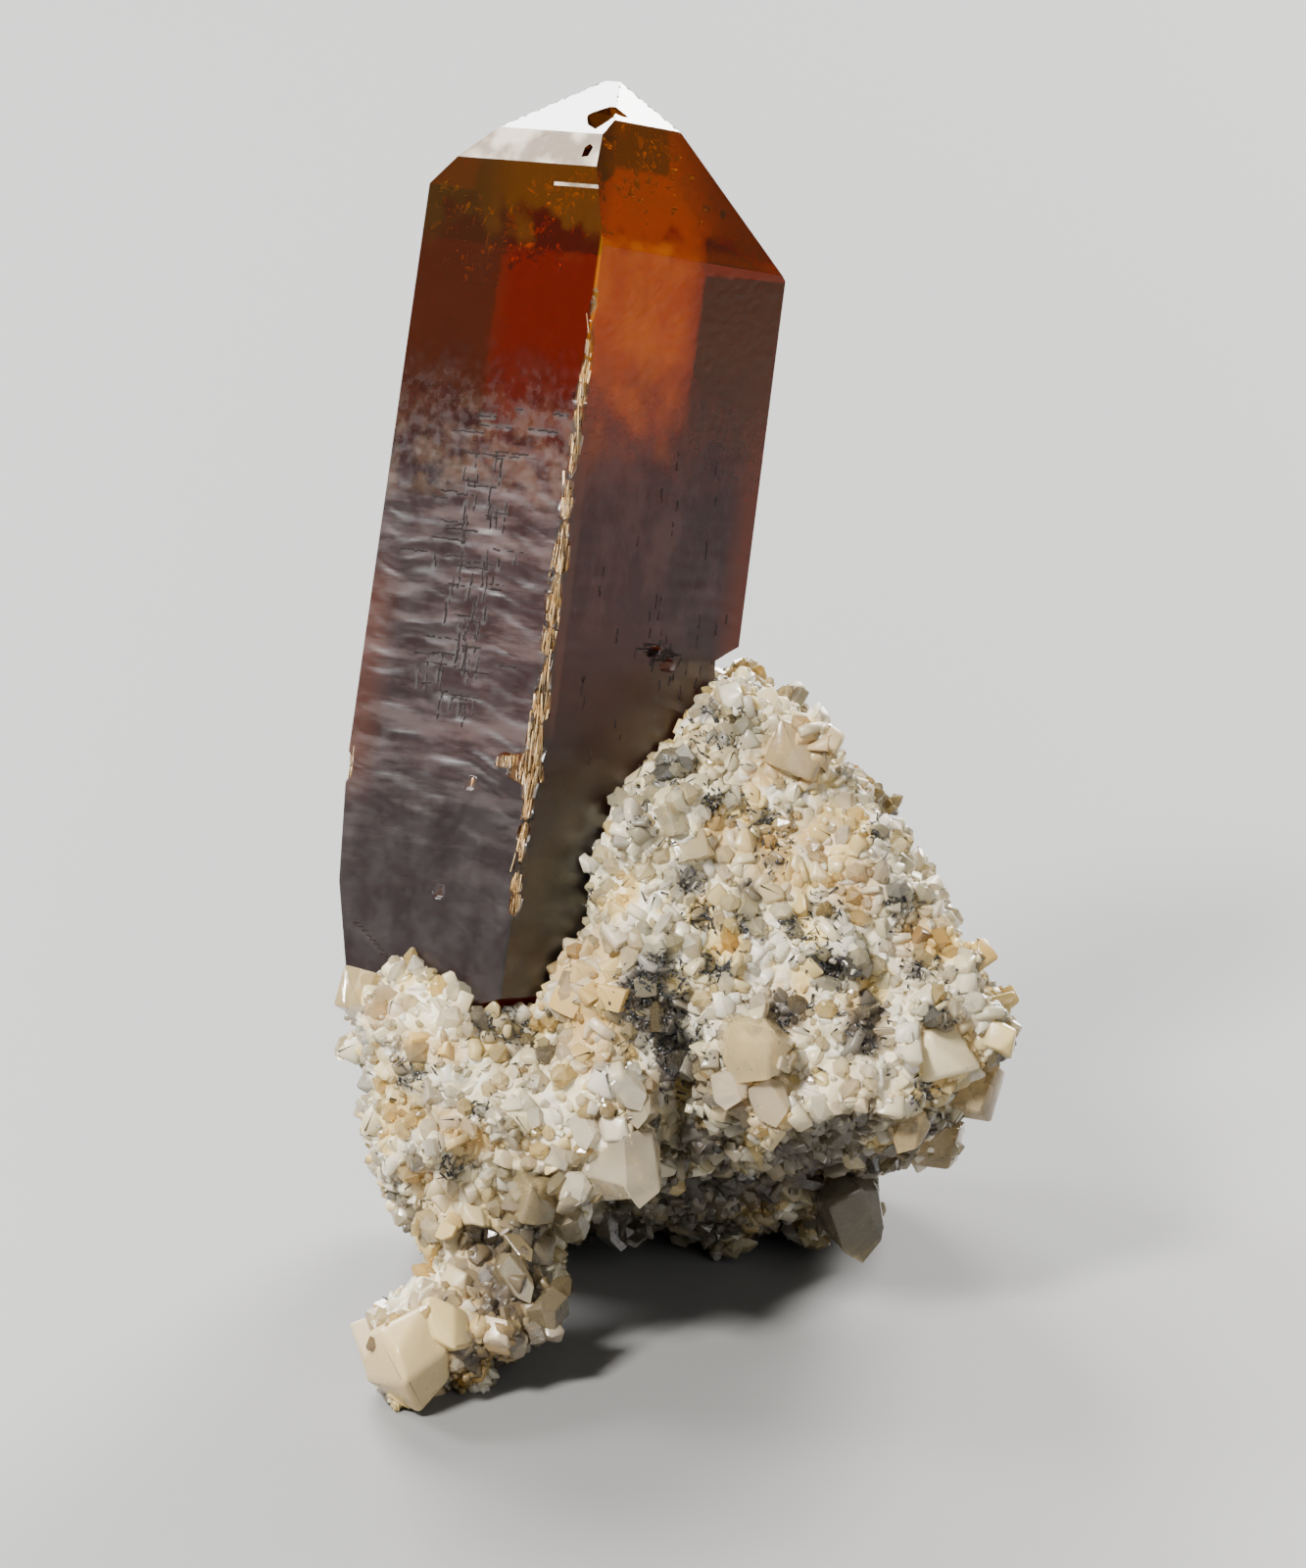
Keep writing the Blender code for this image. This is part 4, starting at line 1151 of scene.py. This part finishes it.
# %% Model the shapes
def grain_model(size, cuts, bevel, segments):
    """A block of a size, cut by slanted planes, with all its edges bevelled."""
    bpy.ops.object.select_all(action="DESELECT")
    bpy.ops.mesh.primitive_cube_add(size=1.0)
    thing = bpy.context.object
    start_edit(thing)
    bpy.ops.transform.resize(value=size)
    for spot, way in cuts:
        bpy.ops.mesh.select_all(action="SELECT")
        bpy.ops.mesh.bisect(plane_co=spot, plane_no=way, use_fill=True, clear_outer=True)
    bpy.ops.mesh.select_all(action="SELECT")
    bpy.ops.mesh.bevel(offset=bevel, segments=segments, affect="EDGES")
    bpy.ops.object.mode_set(mode="OBJECT")
    return shape_of(thing)


def quartz_model(rise, tip, bevel, segments, cuts=()):
    """A six-sided prism that is drawn in over its rise to a blunt tip, then cut."""
    bpy.ops.object.select_all(action="DESELECT")
    bpy.ops.mesh.primitive_cylinder_add(vertices=6, radius=0.46, depth=0.8)
    thing = bpy.context.object
    bpy.ops.object.mode_set(mode="EDIT")
    bpy.ops.mesh.select_mode(type="FACE")
    bpy.ops.mesh.select_all(action="DESELECT")
    bpy.ops.object.mode_set(mode="OBJECT")
    for face in thing.data.polygons:
        face.select = face.normal.z > 0.9
    bpy.ops.object.mode_set(mode="EDIT")
    bpy.ops.mesh.extrude_region_move(TRANSFORM_OT_translate={"value": (0.04, 0, rise)})
    bpy.ops.transform.resize(value=(tip, tip * 1.5, 1.0))
    for spot, way in cuts:
        bpy.ops.mesh.select_all(action="SELECT")
        bpy.ops.mesh.bisect(plane_co=spot, plane_no=way, use_fill=True, clear_outer=True)
    if bevel:
        bpy.ops.mesh.select_all(action="SELECT")
        bpy.ops.mesh.bevel(offset=bevel, segments=segments, affect="EDGES")
    bpy.ops.object.mode_set(mode="OBJECT")
    return shape_of(thing)


SLANTED_END = (((0, 0, 0.30), (0.75, 0.1, 1.0)),)
TWO_SLANTS = (((0.1, 0, 0.26), (0.9, -0.2, 1.0)), ((-0.3, 0.1, 0.2), (-1.0, 0.5, 0.8)))
CORNER_CUTS = (((0.3, 0.3, 0.2), (1, 1, 0.6)), ((-0.3, -0.2, 0.3), (-0.8, -0.5, 1)))
block_shape = grain_model((0.9, 0.8, 1.1), SLANTED_END, 0.09, 1)
wedge_shape = grain_model((1.1, 0.8, 0.9), TWO_SLANTS, 0.08, 1)
lump_shape = grain_model((0.95, 0.85, 0.9), CORNER_CUTS, 0.13, 1)
plate_shape = grain_model((1.15, 0.42, 1.0), (((0.3, 0, 0.3), (1, 0, 1)),), 0.07, 1)
quartz_shape = quartz_model(0.36, 0.18, 0.0, 1)
for shape in (block_shape, wedge_shape, lump_shape, plate_shape, quartz_shape):
    print("faces", len(shape[1]), end="; ")
print()

# %% [markdown]
# ## The crust of small grains
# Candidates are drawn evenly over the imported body. The largest are set first and the
# rest fill the gaps between them, down to a smallest distance for each pair of sizes,
# so the grains crowd together and half merge without piling up. Each is sunk by part
# of its size. What would lie in the large crystal, in a larger crystal's place or under
# the floor is left out.

# %% Even places for the grains
CANDIDATES = 60000
CELL = 0.75
CROWDING = 0.37


def surface_places(count, rng):
    """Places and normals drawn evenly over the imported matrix."""
    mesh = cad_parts["feldspar_matrix"].data
    corners = np.empty(len(mesh.loop_triangles) * 3, dtype=np.int32)
    mesh.loop_triangles.foreach_get("vertices", corners)
    a, b, c = points_of(mesh)[corners.reshape(-1, 3)].transpose(1, 0, 2)
    cross = np.cross(b - a, c - a)
    area = np.linalg.norm(cross, axis=1)
    pick = rng.choice(len(area), size=count, p=area / area.sum())
    u, v = rng.random((2, count, 1))
    flip = (u + v) > 1
    u, v = np.where(flip, 1 - u, u), np.where(flip, 1 - v, v)
    places = a[pick] + u * (b - a)[pick] + v * (c - a)[pick]
    return places, cross[pick] / area[pick][:, None]


def spaced(places, sizes):
    """Which candidates stay when none may crowd one that was set before it."""
    cells, kept = {}, []
    reach = range(-1, 2)
    points = (places / MM).tolist()
    for number, (px, py, pz) in enumerate(points):
        home = (int(px // CELL), int(py // CELL), int(pz // CELL))
        size = sizes[number]
        near = (other for i in reach for j in reach for k in reach
                for other in cells.get((home[0] + i, home[1] + j, home[2] + k), ()))
        for qx, qy, qz, other_size in near:
            limit = CROWDING * (size + other_size)
            if (px - qx) ** 2 + (py - qy) ** 2 + (pz - qz) ** 2 < limit * limit:
                break
        else:
            cells.setdefault(home, []).append((px, py, pz, size))
            kept.append(number)
    return np.array(kept)


rng = np.random.default_rng(31)
places, normals = surface_places(CANDIDATES, rng)
sizes = np.sort(0.33 + 0.72 * rng.random(CANDIDATES) ** 3.0)[::-1]
depth = depth_inside(crystal_place(places))
keep = (sizes < np.clip((-depth + 0.12) * 2.2, 0, 9)) & (places[:, 2] > 0.12 * MM)
box_low, box_high = np.array(cad_low), np.array(cad_high)
room = np.minimum(places - box_low, box_high - places)[:, :2].min(axis=1) / MM
keep &= room > sizes * 0.25 - 0.25
for hit, row in zip(large_hits, LARGE_CRYSTALS):
    own_place_view = (places - hit) @ view_axes / MM
    keep &= ~((np.hypot(own_place_view[:, 0] / row[2], own_place_view[:, 2] / row[3]) < 0.37)
              & (abs(own_place_view[:, 1]) < row[2]))
places, normals, sizes = places[keep], normals[keep], sizes[keep]
kept = spaced(places, sizes)
places, normals, sizes = places[kept], normals[kept], sizes[kept]
print(len(places), "grains, mean size", round(float(sizes.mean()), 2), "mm")

# %% Set the grains
tints = np.clip(tint_patches(places) + rng.normal(0, 0.07, len(places)), 0, 1)
# Painted shade on the grains, most of all under the overhang
painted_shades = painted_shade_part(places, normals) * rng.uniform(0.75, 1.0, len(places))
darks = spotted(places, NEEDLE_CLUMPS, 3.0, 0.8) * rng.uniform(0.55, 1.0, len(places))
tans = spotted(places, TAN_SPOTS, 9.0, 0.9) * rng.uniform(0.3, 1.0, len(places))

feldspar_finish = mineral("waxy_feldspar", 0.30, 0.36, 1.53)
quartz_finish = mineral("clear_quartz", 0.70, 0.14, 1.55)
# Name, shape, share of all grains, how far it is sunk, tilt, finish
GRAIN_KINDS = (
    ("feldspar_blocks", block_shape, 0.19, 0.38, 0.42, feldspar_finish),
    ("feldspar_wedges", wedge_shape, 0.20, 0.38, 0.5, feldspar_finish),
    ("waxy_lumps", lump_shape, 0.20, 0.38, 0.6, feldspar_finish),
    ("feldspar_plates", plate_shape, 0.07, 0.24, 0.5, feldspar_finish),
    ("quartz_points", quartz_shape, 0.34, 0.28, 0.45, quartz_finish),
)
kinds = rng.choice(len(GRAIN_KINDS), size=len(places),
                   p=[kind[2] for kind in GRAIN_KINDS])
for number, (name, shape, _, sink, tilt, finish) in enumerate(GRAIN_KINDS):
    mine = np.flatnonzero(kinds == number)
    centres = places[mine] - normals[mine] * sizes[mine, None] * sink * MM
    stretch = rng.uniform(0.75, 1.35, (len(mine), 3))
    grains, owners = many(name, [shape], [0] * len(mine), centres,
                          turns_along(normals[mine], tilt, rng),
                          sizes[mine, None] * stretch * MM)
    grain_points = points_of(grains.data)
    grain_points[:, 2] = np.maximum(grain_points[:, 2], 0.00002)
    grains.data.vertices.foreach_set("co", grain_points.ravel())
    store(grains.data, "tint", tints[mine][owners])
    store(grains.data, "dark", darks[mine][owners])
    store(grains.data, "tan", tans[mine][owners])
    store(grains.data, "painted_shade", painted_shades[mine][owners])
    smooth(grains, 50 if shape is not quartz_shape else 25)
    finish_piece(grains, finish)

# %% [markdown]
# ## Larger crystals
# Along the lower rims stand larger half-clear crystals, the foot ends in rounded cream
# lobes, and a few blocks can be told apart higher up. They are set where rays from the
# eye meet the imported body, which has plain forms of the main ones in the same places.

# %% Set the larger crystals
fine_block = grain_model((0.95, 0.9, 1.0), (((0, 0, 0.36), (0.5, 0.25, 1.0)),), 0.07, 2)
LOBE_CUTS = (((0.34, 0, 0.3), (1.0, 0.3, 0.8)), ((-0.3, 0.1, 0.3), (-0.9, 0.5, 0.9)),
             ((0.1, 0.38, -0.2), (0.4, 1.0, -0.3)), ((0, -0.36, 0.2), (-0.3, -1.0, 0.5)))
fine_lobe = grain_model((1.0, 1.0, 1.0), LOBE_CUTS, 0.085, 3)
QUARTZ_CUTS = (((0.30, 0, 0.40), (0.8, 0.25, 1.0)), ((-0.2, 0.36, 0.3), (-0.3, 1.0, 0.5)),
               ((-0.40, 0, 0.1), (-1.0, -0.2, 0.35)))
fine_quartz = quartz_model(0.06, 0.86, 0.018, 1, QUARTZ_CUTS)
large_rng = np.random.default_rng(8)


def set_by_view(name, rows, hits, shapes, picks, sizes, sink):
    """Crystals that face the eye, each turned a little its own way."""
    turns = []
    base = np.column_stack((view_axes[:, 0], view_axes[:, 2], -view_axes[:, 1]))
    for _ in rows:
        own_turn = Euler(large_rng.uniform(-0.6, 0.6, 3)).to_matrix()
        turns.append(base @ np.array(own_turn))
    centres = hits + view_axes[:, 1][None, :] * sizes[:, :1] * sink
    return many(name, shapes, picks, centres, np.array(turns), sizes)


rows = np.array(LARGE_CRYSTALS)
large_sizes = np.column_stack((rows[:, 2], rows[:, 3], rows[:, 2] * 1.05)) * MM
# The larger crystals get half the painted shade
large_painted_shade = painted_shade_part(large_hits, large_normals) * 0.5
half_clear = mineral("half_clear_crystal", 0.66, 0.18, 1.54, 1.0, 0.0)
waxy = mineral("waxy_lobe", 0.15, 0.34, 1.53, 0.95, 0.2)
for name, rounded, sink, finish in (("large_half_clear_crystals", False, 0.30, half_clear),
                                    ("cream_lobes", True, 0.30, waxy)):
    mine = np.flatnonzero((rows[:, 6] == 1) == rounded)
    large, owners = set_by_view(name, mine, large_hits[mine],
                                [fine_block, fine_lobe, fine_quartz],
                                rows[mine, 6].astype(int), large_sizes[mine], sink)
    large_points = points_of(large.data)
    large_points[:, 2] = np.maximum(large_points[:, 2], 0.00002)
    large.data.vertices.foreach_set("co", large_points.ravel())
    store(large.data, "tint", rows[mine, 4][owners])
    store(large.data, "tan", rows[mine, 5][owners])
    store(large.data, "dark", np.zeros(len(owners)))
    store(large.data, "painted_shade", large_painted_shade[mine][owners])
    smooth(large, 32 if rounded else 20)
    finish_piece(large, finish)

# %% The tan cluster under the large crystal, and one small brown cube
tan_rows = np.array(TAN_CRYSTALS)
tan_hits, _ = view_hits(TAN_CRYSTALS)
tan_sizes = np.column_stack((tan_rows[:, 2], tan_rows[:, 2] * 0.9, tan_rows[:, 2] * 0.8)) * MM
tan_cluster, owners = set_by_view("tan_crystals", tan_rows, tan_hits, [fine_block],
                                  [0] * len(tan_rows), tan_sizes, 0.1)
store(tan_cluster.data, "tint", large_rng.uniform(0.8, 1.0, len(tan_rows))[owners])
store(tan_cluster.data, "tan", large_rng.uniform(0.3, 0.9, len(tan_rows))[owners])
store(tan_cluster.data, "dark", np.zeros(len(owners)))
store(tan_cluster.data, "painted_shade", np.zeros(len(owners)))
smooth(tan_cluster, 32)
finish_piece(tan_cluster, mineral("tan_feldspar", 0.15, 0.34, 1.53))

cube_hit, _ = view_hits(((12.5, -7.1, 0.7),))
brown_cube, owners = set_by_view("brown_cube", [0], cube_hit, [fine_block], [0],
                                 np.array([[0.75, 0.75, 0.7]]) * MM, -0.05)
brown = Finish("brown_cube_mineral")
brown_height, brown_mottle = brown.unevenness(brown.object_place(), 4000.0)
brown.join(brown.mix(brown_mottle, (0.10, 0.05, 0.015), (0.34, 0.20, 0.07)),
           brown.shader.inputs["Base Color"])
brown.plain(Roughness=0.35, IOR=1.6)
brown.bump(brown_height, 0.4, 0.00003)
smooth(brown_cube, 32)
finish_piece(brown_cube, brown.material)

# %% [markdown]
# ## Black needles
# The hollows of the matrix hold small sprays of thin black to blue-grey needles. One
# tapered needle is modelled, and copies of it are set round each named clump, and more
# thinly in patches on the sides that the view doesn't show.

# %% Needles
NEEDLES_A_CLUMP = 30
HIDDEN_TRIES = 9000

bpy.ops.object.select_all(action="DESELECT")
bpy.ops.mesh.primitive_cone_add(vertices=5, radius1=0.055, radius2=0.02, depth=1.0)
needle_model = bpy.context.object
start_edit(needle_model)
bpy.ops.mesh.bisect(plane_co=(0, 0, 0.44), plane_no=(0.5, 0.2, 1), use_fill=True,
                    clear_outer=True)
bpy.ops.object.mode_set(mode="OBJECT")
needle_shape = shape_of(needle_model)

rng = np.random.default_rng(44)
needle_places, needle_normals = [], []
for across, up, reach in NEEDLE_CLUMPS:
    for _ in range(int(NEEDLES_A_CLUMP * (0.5 + reach))):
        spot, normal = surface_under(matrix_tree, across + rng.normal(0, reach * 1.1),
                                     up + rng.normal(0, reach * 1.1))
        needle_places.append(np.array(spot))
        needle_normals.append(np.array(normal))
more, more_normals = surface_places(HIDDEN_TRIES, rng)
hollow = noise_at(more / MM, (0.6, 0.6, 0.6), 77.0)
chosen = (hollow > rng.uniform(0.30, 0.75, len(more)))
needle_places = np.concatenate((needle_places, more[chosen]))
needle_normals = np.concatenate((needle_normals, more_normals[chosen]))
keep = (needle_places[:, 2] > 0.9 * MM)
keep &= depth_inside(crystal_place(needle_places)) < -0.1
needle_places, needle_normals = needle_places[keep], needle_normals[keep]
number = len(needle_places)
lengths = rng.uniform(0.15, 0.65, number)
girths = rng.uniform(0.6, 1.4, number)
needles, _ = many("black_needles", [needle_shape], [0] * number,
                  needle_places + needle_normals * 0.06 * MM,
                  turns_along(needle_normals, 1.3, rng),
                  np.column_stack((girths, girths, lengths)) * MM)
needle_finish = Finish("black_needle")
bumps, needle_mottle = needle_finish.unevenness(needle_finish.object_place(), 3000.0)
needle_finish.join(needle_finish.mix(needle_mottle, (0.006, 0.006, 0.007),
                                     (0.04, 0.042, 0.045)),
                   needle_finish.shader.inputs["Base Color"])
needle_finish.plain(Roughness=0.25, IOR=1.68)
needle_finish.bump(bumps, 0.3, 0.00002)
finish_piece(needles, needle_finish.material)

# %% Measure and finish
new_low, new_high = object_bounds()
sizes = {"cad": [list(map(float, cad_low)), list(map(float, cad_high))],
         "visual": [list(map(float, new_low)), list(map(float, new_high))]}
print("the dressed model measures",
      [round((high - low) / MM, 1) for low, high in zip(new_low, new_high)], "mm")
